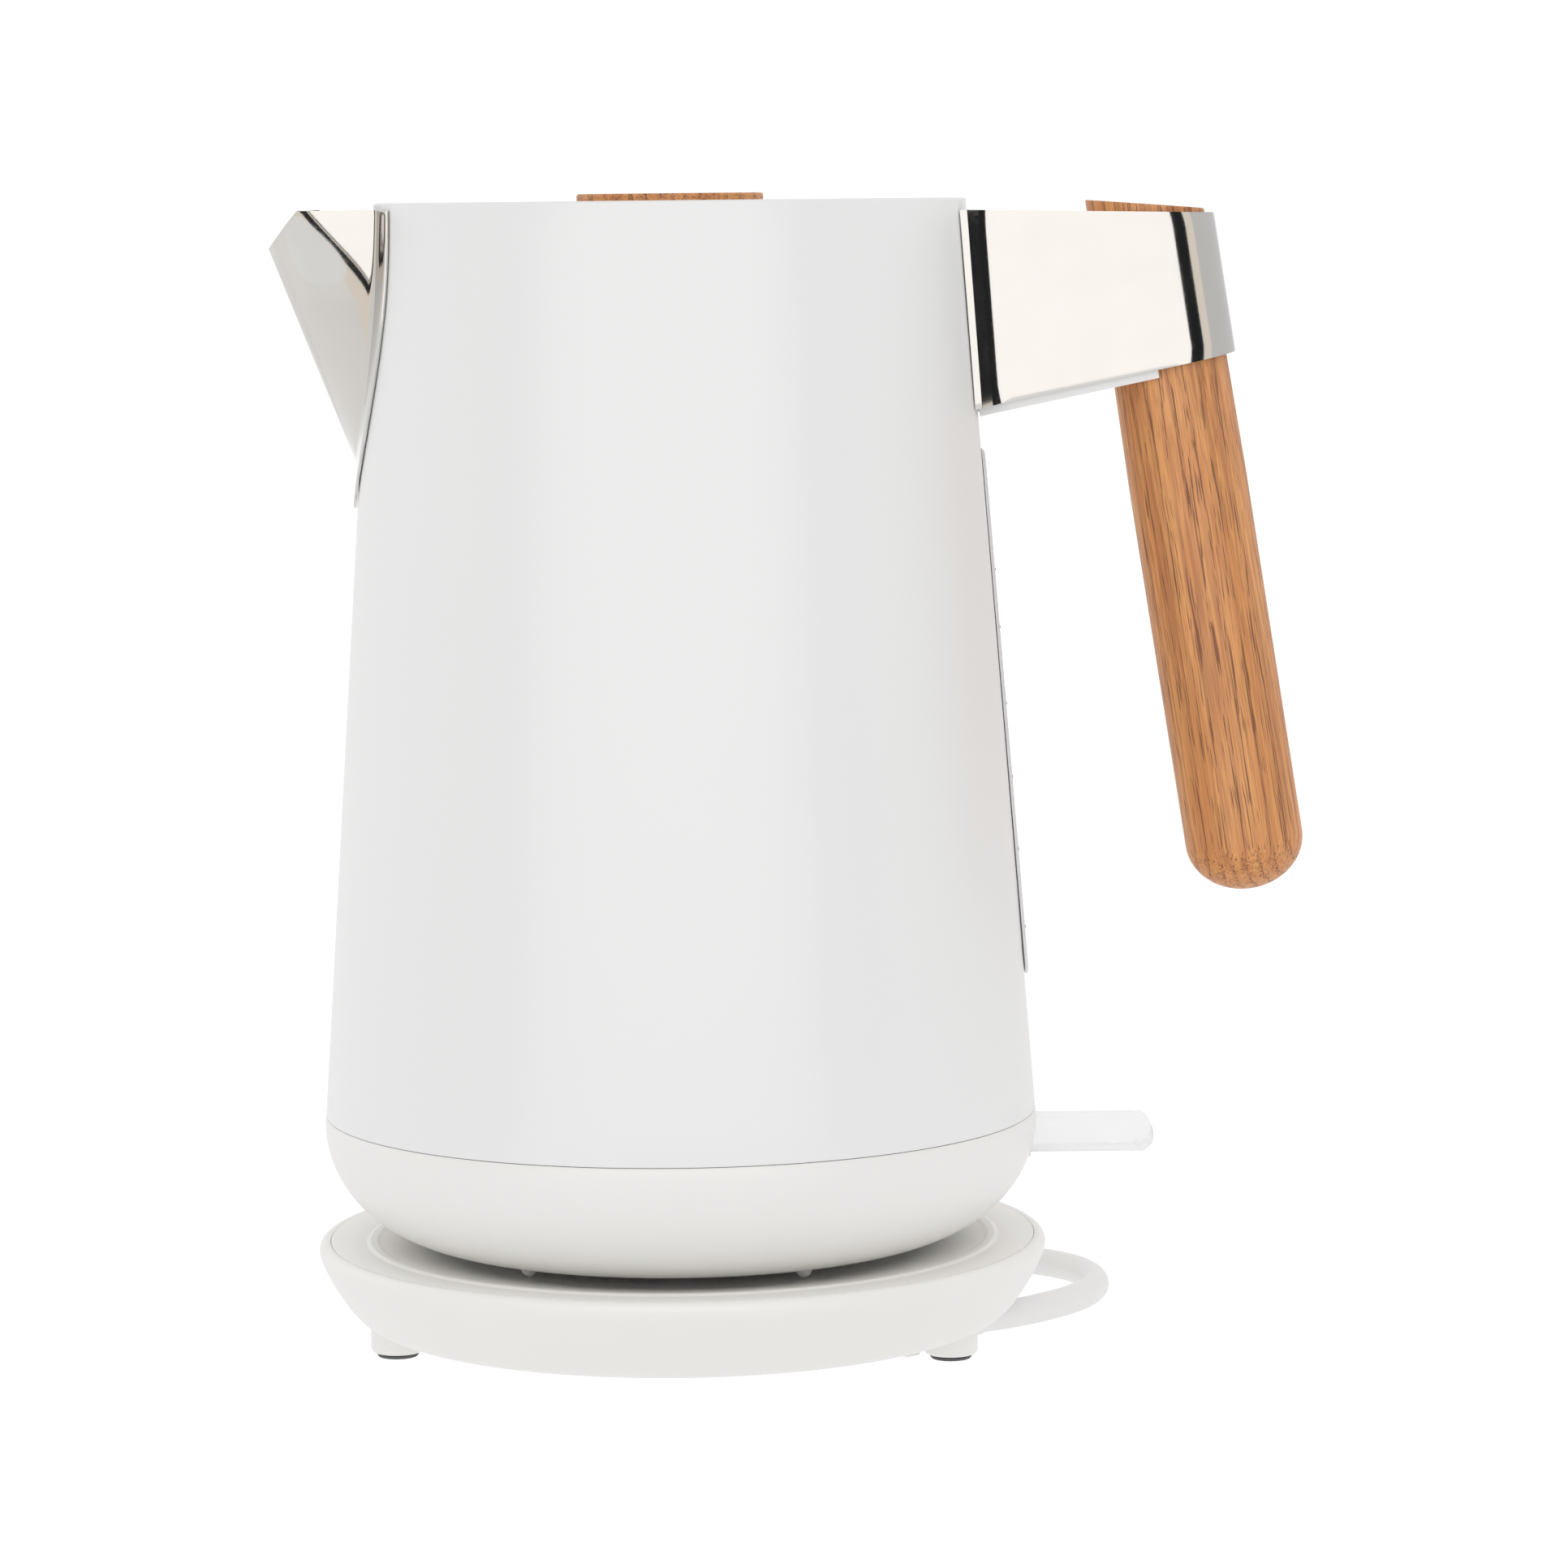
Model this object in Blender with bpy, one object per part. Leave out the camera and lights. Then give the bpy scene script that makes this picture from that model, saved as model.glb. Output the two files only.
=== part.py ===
"""Cordless electric kettle on a round powered base. Metres, +Z up.

Every piece is drawn about the jug's vertical axis, with the spout towards -X, the handle
towards +X and heights above the table. One empty then moves the whole kettle so that the
origin lies on the table under the middle of its box.
"""

import math

import bmesh
import bpy
from mathutils import Matrix, Vector

# ---- driving dimensions ----
JUG_X = -0.0246  # the jug's axis, seen from the middle of the kettle's box
GAP = 0.0003  # clearance between pieces that touch
ROUND = 40  # sides of a large round piece
SMALL_ROUND = 24
TINY_ROUND = 12

RIM_Z = 0.2498
RIM_R = 0.0635
SEAM_Z = 0.0530  # where the steel cone ends and the plastic bowl begins
SEAM_R = 0.0773
WALL = 0.0012
FLAT_TOP_Z = 0.2400  # the flat strip under the handle, which carries the water window
FLAT_INSET = 0.0002
FLAT_SLOPE = 0.0775

BOWL_FLOOR_Z = 0.0250
BOWL_FLOOR_R = 0.0490
BOWL_WIDE = 0.0285  # half axes of the oval between the floor and the side
BOWL_TALL = 0.0260
BOWL_WALL = 0.0022
SOCKET_HOLE_R = 0.0193
BUMP_CIRCLE_R = 0.0497
BUMP_R = 0.00175
BUMP_LOW_Z = 0.0230
BUMP_ANGLES = [230 + 72 * k for k in range(5)]
SHELL_SCREW_CIRCLE = 0.0380
SHELL_SCREWS = (30, 150, 270)

BEAK_TIP = (-0.0864, 0.2402)  # x, z
BEAK_FOOT = (-0.0686, 0.1947)
BEAK_TOP = (-0.0788, 0.2483)
BEAK_HALF = 0.0205
FLANGE_HALF = 0.0270
FLANGE_LOW_Z = 0.1843
FLANGE_WIDEST_Z = 0.2325
SHEET = 0.0010

GRIP_TOP_X = 0.1019  # the grip's axis at GRIP_TOP_Z
GRIP_TOP_Z = 0.2480
GRIP_SLOPE = 0.1540
GRIP_R = 0.01275
GRIP_NECK_R = 0.01245
GRIP_LENGTH = 0.1500
GRIP_DOME = 0.0110
BAND_Z = 0.2460  # the height at which the band's plan is drawn
BAND_HALF = 0.0145
BAND_FLARE = 0.0026
BAND_FLARE_LONG = 0.0100
BAND_TOP = (0.0636, 0.2471, -0.0197)  # x, z and slope of the upper edge
BAND_LOW = (0.0636, 0.2046, 0.2038)  # x, z and slope of the lower edge
LINER_LOWER = 0.0018

WINDOW_TOP_Z = 0.1959
WINDOW_LOW_Z = 0.0820
WINDOW_WIDE = 0.0180
WINDOW_PROUD = 0.0010
WINDOW_PLUG_WIDE = 0.0100

LID_TOP_Z = 0.2480
LID_R = 0.0606
KNOB_TOP_Z = 0.2513
KNOB_R = 0.02005
KNOB_THICK = 0.0080
LID_DISH_R = 0.0430
LID_DISH_Z = 0.2300

LEVER_TIP_X = 0.1028
LEVER_MID_Z = 0.0465
LEVER_HALF_THICK = 0.0036
LEVER_HALF_WIDE = 0.0053
SLOT_HALF = 0.0059
PIN_X = 0.0735
PIN_Z = 0.0470
TRIP_X = 0.0510
TRIP_Z = 0.0450

PLATE_Z = 0.0560
PLATE_R = 0.0720
ELEMENT_R = 0.0450
STEAM_ANGLE = 32
STEAM_R = 0.0560

DISH_Z = 0.0224
COVER_Z = 0.0250
COVER_R = 0.0768
LEDGE_Z = 0.0225  # the step in the shell that carries the base's cover
UNDERSIDE_Z = 0.0064
SHUTTER_Z = 0.0227
TOWER_R = 0.0115
FEET = ((0.0628, 188), (0.0604, -16), (0.0620, 58), (0.0620, 122))  # radius, angle
FOOT_R = 0.00585
BASE_SCREW_CIRCLE = 0.0520
BASE_SCREWS = (40, 160, 280)
PAD_R = 0.0045
PAD_THICK = 0.0006

CORD_R = 0.0032
CORD_Z = 0.0033
GLAND_MOUTH = (0.0646, 0.0055, 0.0039)
GLAND_HEADING = 45.0
GLAND_LENGTH = 0.030
COIL_X = 0.0120
COIL_Y = 0.1240
COIL_MID_R = 0.0350
COIL_LIFT = 0.0010  # the tie passes under the coil
PLUG_GAP_Y = 0.0238  # from the coil's middle to where the cord clears its outer turn

# ---- materials ----
WHITE_STEEL = ("white_steel", (0.82, 0.83, 0.84), 0.35, 0.0)
WHITE_PLASTIC = ("white_plastic", (0.82, 0.82, 0.81), 0.45, 0.0)
POLISHED_STEEL = ("polished_steel", (0.78, 0.78, 0.77), 0.12, 1.0)
BRUSHED_STEEL = ("brushed_steel", (0.62, 0.62, 0.62), 0.35, 1.0)
OAK = ("oak", (0.55, 0.33, 0.17), 0.55, 0.0)
CLEAR = ("clear_plastic", (0.92, 0.94, 0.94), 0.10, 0.0)
DARK_RUBBER = ("dark_rubber", (0.10, 0.10, 0.10), 0.80, 0.0)
SILICONE = ("silicone", (0.75, 0.75, 0.73), 0.60, 0.0)
BLACK_PLASTIC = ("black_plastic", (0.05, 0.05, 0.05), 0.50, 0.0)
BRASS = ("brass", (0.75, 0.58, 0.28), 0.30, 1.0)
ZINC = ("zinc_screw", (0.60, 0.60, 0.62), 0.35, 1.0)
LAMP = ("lamp_glass", (0.55, 0.70, 0.90), 0.20, 0.0)
CORD_WHITE = ("cord_white", (0.85, 0.84, 0.83), 0.50, 0.0)


# ---- helpers ----
def clear_scene():
    for thing in list(bpy.data.objects):
        bpy.data.objects.remove(thing, do_unlink=True)


def material(kind):
    name, colour, roughness, metallic = kind
    made = bpy.data.materials.get(name)
    if made:
        return made
    made = bpy.data.materials.new(name)
    made.use_nodes = True
    shader = made.node_tree.nodes["Principled BSDF"]
    shader.inputs["Base Color"].default_value = (*colour, 1.0)
    shader.inputs["Roughness"].default_value = roughness
    shader.inputs["Metallic"].default_value = metallic
    return made


def empty(name, place, parent=None):
    made = bpy.data.objects.new(name, None)
    made.location = place
    made.parent = parent
    bpy.context.collection.objects.link(made)
    return made


def put(name, bm, kind, group, smooth=35):
    """Turn a bmesh, drawn about the jug's axis, into a node of a group of pieces."""
    bmesh.ops.recalc_face_normals(bm, faces=bm.faces)
    centre = Vector(group["centre"]) if group else Vector()
    bmesh.ops.translate(bm, verts=bm.verts, vec=-centre)
    mesh = bpy.data.meshes.new(name)
    bm.to_mesh(mesh)
    bm.free()
    mesh.shade_smooth()
    mesh.set_sharp_from_angle(angle=math.radians(smooth))
    made = bpy.data.objects.new(name, mesh)
    bpy.context.collection.objects.link(made)
    if group:
        made.parent = group
    if kind:
        mesh.materials.append(material(kind))
    return made


def cutter(name, bm, group):
    """A guide body for a Boolean. The build leaves it out."""
    made = put(name, bm, None, group)
    made.hide_render = True
    made.display_type = "WIRE"
    return made


def boolean(target, tool, operation="DIFFERENCE"):
    step = target.modifiers.new(tool.name, "BOOLEAN")
    step.operation = operation
    step.object = tool
    step.solver = "EXACT"


def oval(x, z, wide, tall, start, end, steps):
    """Points on part of an oval from one angle to another, in degrees."""
    turn = [math.radians(start + (end - start) * k / steps) for k in range(steps + 1)]
    return [(x + wide * math.cos(a), z + tall * math.sin(a)) for a in turn]


def arc(x, z, radius, start, end, steps):
    return oval(x, z, radius, radius, start, end, steps)


def turned(outline, steps=ROUND, x=0.0, y=0.0):
    """Spin an outline of (radius, height) about a vertical axis. An outline that starts and ends
    on the axis gives a solid, and any other is closed into a ring."""
    bm = bmesh.new()
    points = [bm.verts.new((x + r, y, z)) for r, z in outline]
    edges = [bm.edges.new(pair) for pair in zip(points, points[1:])]
    if outline[0][0] > 0 or outline[-1][0] > 0:
        edges.append(bm.edges.new((points[-1], points[0])))
    bmesh.ops.spin(
        bm,
        geom=points + edges,
        cent=(x, y, 0),
        axis=(0, 0, 1),
        angle=math.tau,
        steps=steps,
        use_merge=True,
    )
    bmesh.ops.remove_doubles(bm, verts=bm.verts, dist=1e-6)
    return bm


def aim(bm, start, direction):
    """Move what is drawn up the +Z axis so that it starts at a point and runs along a direction."""
    turn = Vector((0, 0, 1)).rotation_difference(Vector(direction)).to_matrix().to_4x4()
    bmesh.ops.transform(bm, verts=bm.verts, matrix=Matrix.Translation(start) @ turn)
    return bm


def rod(start, end, radius, steps=TINY_ROUND):
    length = (Vector(end) - Vector(start)).length
    outline = [(0, 0), (radius, 0), (radius, length), (0, length)]
    return aim(turned(outline, steps), start, Vector(end) - Vector(start))


def box(low, high):
    bm = bmesh.new()
    bmesh.ops.create_cube(bm, size=1.0)
    low, high = Vector(low), Vector(high)
    size = high - low
    scale = Matrix.Diagonal((size.x, size.y, size.z, 1.0))
    place = Matrix.Translation((low + high) / 2) @ scale
    bmesh.ops.transform(bm, verts=bm.verts, matrix=place)
    return bm


def bevelled_box(low, high, width, segments=2):
    bm = box(low, high)
    bmesh.ops.bevel(
        bm, geom=bm.edges[:], offset=width, segments=segments, affect="EDGES", profile=0.5
    )
    return bm


def join(*parts):
    """Put several closed bodies in one mesh, for a cutter or a union."""
    whole = parts[0]
    for part in parts[1:]:
        mesh = bpy.data.meshes.new("joined")
        part.to_mesh(mesh)
        part.free()
        whole.from_mesh(mesh)
        bpy.data.meshes.remove(mesh)
    return whole


def loft(rings):
    """Skin a list of rings of points, and cap both ends."""
    bm = bmesh.new()
    rows = [[bm.verts.new(p) for p in ring] for ring in rings]
    count = len(rows[0])
    for low, high in zip(rows, rows[1:]):
        for k in range(count):
            after = (k + 1) % count
            bm.faces.new((low[k], low[after], high[after], high[k]))
    bm.faces.new(list(reversed(rows[0])))
    bm.faces.new(rows[-1])
    return bm


def rounded_rectangle(wide, tall, radius, steps=4):
    """Corners of a rectangle about 0, 0, with round corners."""
    points = []
    for side, (u, v) in enumerate(((1, 1), (-1, 1), (-1, -1), (1, -1))):
        points += arc(
            u * (wide / 2 - radius),
            v * (tall / 2 - radius),
            radius,
            90 * side,
            90 * side + 90,
            steps,
        )
    return points


def tube(name, points, radius, kind, group, sides=2, closed=False):
    """A round bar that follows a list of points."""
    curve = bpy.data.curves.new(name, "CURVE")
    curve.dimensions = "3D"
    curve.bevel_depth = radius
    curve.bevel_resolution = sides
    curve.use_fill_caps = not closed
    spline = curve.splines.new("POLY")
    spline.points.add(len(points) - 1)
    spline.use_cyclic_u = closed
    centre = Vector(group["centre"])
    for target, place in zip(spline.points, points):
        target.co = (*(Vector(place) - centre), 1.0)
    curve.materials.append(material(kind))
    made = bpy.data.objects.new(name, curve)
    bpy.context.collection.objects.link(made)
    made.parent = group
    return made


def smooth_curve(points, each):
    """Catmull-Rom points through a route."""
    places = [Vector(p) for p in points]
    first = places[0] * 2 - places[1]
    last = places[-1] * 2 - places[-2]
    places = [first, *places, last]
    curve = []
    for a, b, c, d in zip(places, places[1:], places[2:], places[3:]):
        for k in range(each):
            t = k / each
            curve.append(
                0.5
                * (
                    2 * b
                    + (c - a) * t
                    + (2 * a - 5 * b + 4 * c - d) * t**2
                    + (3 * b - a - 3 * c + d) * t**3
                )
            )
    curve.append(places[-2])
    return curve


def on_circle(radius, degrees):
    angle = math.radians(degrees)
    return radius * math.cos(angle), radius * math.sin(angle)


def screw(name, head, direction, group, shank_r=0.0016, length=0.011, head_r=0.003):
    """A pan-head screw. The head's outer face is at head, and the shank runs along direction."""
    head_tall = 0.0015
    outline = [
        (0, 0),
        (head_r * 0.8, 0),
        (head_r, head_tall),
        (shank_r, head_tall),
        (shank_r, length),
        (0, length + shank_r),
    ]
    return put(name, aim(turned(outline, 8), head, direction), ZINC, group)


# ---- the shape of the jug ----
def cone_radius(z):
    return SEAM_R + (RIM_R - SEAM_R) * (z - SEAM_Z) / (RIM_Z - SEAM_Z)


def flat_x(z):
    """The plane of the flat strip on the handle side."""
    return SEAM_R - FLAT_INSET - FLAT_SLOPE * (z - SEAM_Z)


def make_jug_body(group):
    outside = [
        (cone_radius(z), z) for z in (SEAM_Z, FLAT_TOP_Z, FLAT_TOP_Z + 0.0004)
    ]
    rim = [
        (RIM_R, RIM_Z - 0.0004),
        (RIM_R - 0.0004, RIM_Z),
        (RIM_R - WALL, RIM_Z),
    ]
    inside = [(r - WALL, z) for r, z in reversed(outside)]
    bm = turned(outside + rim + inside, 64)
    for vert in bm.verts:
        x, y, z = vert.co
        if z > FLAT_TOP_Z + 0.0002:
            continue
        inner = math.hypot(x, y) < cone_radius(z) - WALL / 2
        vert.co.x = min(x, flat_x(z) - (WALL if inner else 0))
    jug = put("jug_body", bm, WHITE_STEEL, group)
    boolean(jug, spout_opening(group))
    boolean(jug, window_opening(group))
    boolean(jug, handle_screw_holes("jug_screw_holes", group, 0.0023))


def spout_opening(group):
    """The arch through the jug's wall behind the spout, below the rim."""
    half = BEAK_HALF - 0.004
    side = [(half, 0.2400), (half, 0.2250), (half * 0.86, 0.2130), (half * 0.45, 0.2040)]
    outline = side + [(-y, z) for y, z in reversed(side)]
    near = [(-0.050, y, z) for y, z in outline]
    far = [(-0.075, y, z) for y, z in outline]
    return cutter("spout_opening", loft([near, far]), group)


def window_opening(group):
    outline = rounded_rectangle(
        WINDOW_PLUG_WIDE + 0.0008, WINDOW_TOP_Z - WINDOW_LOW_Z - 0.008, 0.0045
    )
    middle = (WINDOW_TOP_Z + WINDOW_LOW_Z) / 2
    rings = [[(x, y, middle + z) for y, z in outline] for x in (0.055, 0.085)]
    return cutter("window_opening", loft(rings), group)


def handle_screw_places():
    return [(flat_x(z) - WALL, 0.0, z) for z in (0.2360, 0.2160)]


def handle_screw_holes(name, group, radius, deep=0.0160):
    rods = [
        rod((x - 0.004, y, z), (x + deep, y, z), radius) for x, y, z in handle_screw_places()
    ]
    return cutter(name, join(*rods), group)


# ---- spout ----
def flange_half(z):
    """Half the width of the spout's flange at a height."""
    if z > FLANGE_WIDEST_Z:
        part = (z - FLANGE_WIDEST_Z) / (RIM_Z - FLANGE_WIDEST_Z)
        return FLANGE_HALF - 0.002 * part**2
    part = (FLANGE_WIDEST_Z - z) / (FLANGE_WIDEST_Z - FLANGE_LOW_Z)
    return FLANGE_HALF * (1 - min(part, 1.0) ** 1.75) ** (1 / 1.75)


def beak_half(z):
    """Half the width of the beak where it leaves the flange."""
    widest = FLANGE_WIDEST_Z
    if z > widest:
        return BEAK_HALF - 0.0015 * ((z - widest) / (RIM_Z - widest)) ** 2
    part = (widest - z) / (widest - BEAK_FOOT[1] + 0.0005)
    narrow = BEAK_HALF * math.sqrt(max(1 - part**2, 0.0))
    return max(narrow, min(0.0015, flange_half(z) * 0.4))


def beak_front(z):
    """How far the front of the beak reaches at a height."""
    slope = (BEAK_TIP[0] - BEAK_FOOT[0]) / (BEAK_TIP[1] - BEAK_FOOT[1])
    return BEAK_FOOT[0] + slope * (z - BEAK_FOOT[1])


def flange_x(y, z):
    radius = cone_radius(z) + GAP + SHEET
    return -math.sqrt(radius**2 - y**2)


def beak_x(y, z):
    """A V with a round nose, from the flange to the front of the beak and back."""
    half = beak_half(z)
    root = flange_x(half, z)
    front = min(beak_front(z), flange_x(0, z))
    nose = 0.22
    part = min(abs(y) / half, 1.0)
    rise = (math.hypot(part, nose) - nose) / (math.hypot(1.0, nose) - nose)
    return front + (root - front) * rise


def spout_row(z):
    half, edge = beak_half(z), flange_half(z)
    side = [edge, (edge + half) / 2]
    nose = [half * (1 - k / 6) for k in range(7)]
    places = [(flange_x(y, z), y) for y in side] + [(beak_x(y, z), y) for y in nose]
    mirrored = [(x, -y) for x, y in reversed(places[:-1])]
    return [(x, y, z) for x, y in places + mirrored]


def make_spout(group):
    top = BEAK_TOP[1]
    low = FLANGE_LOW_Z + 0.0002
    rows = 12
    heights = [low + (top - low) * (k / rows) ** 1.3 for k in range(rows + 1)]
    bm = bmesh.new()
    grid = [[bm.verts.new(p) for p in spout_row(z)] for z in heights]
    for low_row, high_row in zip(grid, grid[1:]):
        for k in range(len(low_row) - 1):
            bm.faces.new((low_row[k], high_row[k], high_row[k + 1], low_row[k + 1]))
    spout = put("spout", bm, POLISHED_STEEL, group, 50)
    thicken(spout, SHEET, (-1, 0, 0))
    boolean(spout, lip_cutter(group))


def thicken(sheet, thickness, outward):
    """Make a sheet solid, on the side away from outward."""
    faces = sheet.data.polygons
    facing = sum((face.normal * face.area for face in faces), Vector())
    step = sheet.modifiers.new("thickness", "SOLIDIFY")
    step.thickness = thickness
    step.offset = -1.0 if facing.dot(Vector(outward)) > 0 else 1.0
    step.use_even_offset = True


def lip_cutter(group):
    """Cuts the beak's mouth on a slope, from the flat top down to the tip."""
    top = Vector((BEAK_TOP[0], 0, BEAK_TOP[1]))
    run = Vector((BEAK_TIP[0], 0, BEAK_TIP[1])) - top
    up = Vector((run.z, 0, -run.x)).normalized()
    bm = box((-0.04, -0.04, 0.0), (0.04, 0.04, 0.03))
    return cutter("lip_cutter", aim(bm, top, up), group)


def make_spout_filter(group):
    """A frame with bars, clipped behind the opening in the wall."""
    x = -0.0592
    half = BEAK_HALF - 0.0010
    low, high = 0.2010, 0.2385
    frame = box((x, -half, low), (x + 0.0014, half, high))
    filter_frame = put("spout_filter", frame, SILICONE, group)
    slots = []
    count = 9
    pitch = (2 * half - 0.004) / count
    for k in range(count):
        y = -half + 0.002 + pitch * (k + 0.5)
        for foot, head in ((low + 0.003, low + 0.0175), (low + 0.0200, high - 0.003)):
            slots.append(
                box((x - 0.002, y - pitch * 0.3, foot), (x + 0.004, y + pitch * 0.3, head))
            )
    boolean(filter_frame, cutter("filter_slots", join(*slots), group))


# ---- handle ----
def grip_x(z):
    return GRIP_TOP_X + GRIP_SLOPE * (GRIP_TOP_Z - z)


def edge_height(column, edge, drop=0.0):
    """Where a column of the band meets its sloping upper or lower edge."""
    x, _, lean = column
    at_x, at_z, slope = edge
    return (at_z - drop + slope * (x + lean * BAND_Z - at_x)) / (1 + slope * lean)


def column_point(column, z):
    x, y, lean = column
    return (x + lean * (BAND_Z - z), y, z)


def band_columns():
    """The band's outer plan at BAND_Z, from the jug round the grip and back."""
    cone_lean = (SEAM_R - RIM_R) / (RIM_Z - SEAM_Z)
    root = cone_radius(BAND_Z) + GAP
    side = []
    start = math.sqrt(root**2 - (BAND_HALF + BAND_FLARE) ** 2) - 0.0015
    for k in range(4):
        part = k / 3
        y = BAND_HALF + 0.0003 + BAND_FLARE * (1 - part) ** 2
        x = start + BAND_FLARE_LONG * part
        side.append((x, -y, cone_lean))
    middle = grip_x(BAND_Z)
    stretch = math.hypot(1, GRIP_SLOPE)
    half_turn = [
        (middle + (x - middle) * stretch, y, GRIP_SLOPE)
        for x, y in arc(middle, 0, BAND_HALF, -90, 90, 12)
    ]
    return side + half_turn + [(x, -y, lean) for x, y, lean in reversed(side)]


def make_bracket(group):
    bm = bmesh.new()
    columns = []
    for column in band_columns():
        low = edge_height(column, BAND_LOW)
        high = edge_height(column, BAND_TOP)
        heights = [low, (low + high) / 2, high]
        columns.append([bm.verts.new(column_point(column, z)) for z in heights])
    for one, two in zip(columns, columns[1:]):
        for k in range(2):
            bm.faces.new((one[k], two[k], two[k + 1], one[k + 1]))
    bracket = put("handle_bracket", bm, POLISHED_STEEL, group)
    thicken(bracket, SHEET, (1, 0, 0))
    boolean(bracket, cutter("jug_space", jug_space(), group))


def jug_space():
    """The jug's cone with clearance, cut away from what is fixed to it."""
    low, high = 0.19, 0.26
    outline = [(cone_radius(z) + GAP, z) for z in (low, high)]
    return turned([(0, low), *outline, (0, high)], 64)


def make_liner(group):
    """The plastic core of the band. Its end is hollow, for the grip."""
    cone_lean = (SEAM_R - RIM_R) / (RIM_Z - SEAM_Z)
    half = BAND_HALF - SHEET - GAP
    root = cone_radius(BAND_Z) + GAP
    middle = grip_x(BAND_Z)
    hole = GRIP_NECK_R + 0.0004
    lip = 0.0035
    start = math.degrees(math.acos(-lip / hole))
    jug_side = [
        (math.sqrt(root**2 - y**2), y, cone_lean) for y in (half, half / 2, 0, -half / 2, -half)
    ]
    grip_side = [(x, y, GRIP_SLOPE) for x, y in arc(middle, 0, hole, -start, start - 360, 12)]
    ends = [(middle - lip, -half, GRIP_SLOPE)] + grip_side + [(middle - lip, half, GRIP_SLOPE)]
    outline = jug_side + ends
    low = [column_point(c, edge_height(c, BAND_LOW, LINER_LOWER)) for c in outline]
    high = [column_point(c, edge_height(c, BAND_TOP, 0.0006)) for c in outline]
    liner = put("bracket_liner", loft([low, high]), WHITE_PLASTIC, group)
    boolean(liner, cutter("liner_jug_space", jug_space(), group))
    boolean(liner, handle_screw_holes("liner_screw_holes", group, 0.0020))
    x, z = grip_screw_place()
    well = rod((0.058, 0, z), (x + 0.0004, 0, z), 0.0036)
    boolean(liner, cutter("grip_screw_well", well, group))
    shank = rod((x - 0.001, 0, z), (x + 0.03, 0, z), 0.0019)
    boolean(liner, cutter("grip_screw_hole", shank, group))


def grip_screw_place():
    z = 0.2270
    return grip_x(z) - GRIP_NECK_R - 0.008, z


def make_grip(group):
    """An oak bar with a round lower end and a flat, sloping top."""
    length = GRIP_LENGTH
    steps = 5
    dome = [
        (GRIP_R * math.cos(a), -length + GRIP_DOME * (1 - math.sin(a)))
        for a in [math.pi / 2 * (1 - k / steps) for k in range(steps + 1)]
    ]
    neck = [(GRIP_R, -0.060), (GRIP_NECK_R, -0.036), (GRIP_NECK_R, 0.008), (0, 0.008)]
    bm = turned([(0, dome[0][1])] + dome[1:] + neck, 32)
    lean = Vector((-GRIP_SLOPE, 0, 1))
    grip = put("handle_grip", aim(bm, (GRIP_TOP_X, 0, GRIP_TOP_Z), lean), OAK, group)
    top = Vector((0.0899, 0, 0.2489))
    run = Vector((0.1142, 0, 0.2470)) - top
    up = Vector((-run.z, 0, run.x)).normalized()
    plane = box((-0.05, -0.03, 0), (0.05, 0.03, 0.02))
    boolean(grip, cutter("grip_top_cutter", aim(plane, top, up), group))
    x, z = grip_screw_place()
    hole = rod((x, 0, z), (x + 0.0185, 0, z), 0.0019)
    boolean(grip, cutter("grip_pilot_hole", hole, group))


def make_handle_screws(group):
    for k, (x, y, z) in enumerate(handle_screw_places()):
        name = f"handle_screw_{k + 1}"
        head = (x - GAP - 0.0015, y, z)
        screw(name, head, (1, 0, 0), group, length=0.0125, head_r=0.0035)
    x, z = grip_screw_place()
    screw("grip_screw", (x - 0.0015, 0, z), (1, 0, 0), group, length=0.0175)


# ---- water window ----
def window_rings(outlines):
    """Rings of a slab that leans with the flat strip. Each outline has its own depth."""
    middle = (WINDOW_TOP_Z + WINDOW_LOW_Z) / 2
    rings = []
    for depth, (wide, tall, radius) in outlines:
        ring = rounded_rectangle(wide, tall, radius)
        rings.append([(flat_x(middle + z) + depth, y, middle + z) for y, z in ring])
    return rings


def make_window(group):
    tall = WINDOW_TOP_Z - WINDOW_LOW_Z
    plate = (WINDOW_WIDE, tall, 0.0050)
    face = (WINDOW_WIDE - 0.0008, tall - 0.0008, 0.0046)
    plug = (WINDOW_PLUG_WIDE, tall - 0.0088, 0.0041)
    outlines = [
        (WINDOW_PROUD, face),
        (WINDOW_PROUD - 0.0003, plate),
        (GAP, plate),
        (GAP, plug),
        (-0.0045, plug),
    ]
    put("water_window", loft(window_rings(outlines)), CLEAR, group)


def make_window_seal(group):
    tall = WINDOW_TOP_Z - WINDOW_LOW_Z
    outer = (WINDOW_PLUG_WIDE + 0.0050, tall - 0.0040, 0.0060)
    inner = (WINDOW_PLUG_WIDE + 0.0007, tall - 0.0081, 0.0044)
    near, far = -WALL - 2 * GAP, -WALL - 0.0020
    outside = loft(window_rings([(near, outer), (far, outer)]))
    seal = put("window_seal", outside, SILICONE, group)
    inside = loft(window_rings([(near + 0.002, inner), (far - 0.002, inner)]))
    boolean(seal, cutter("seal_hole", inside, group))


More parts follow.
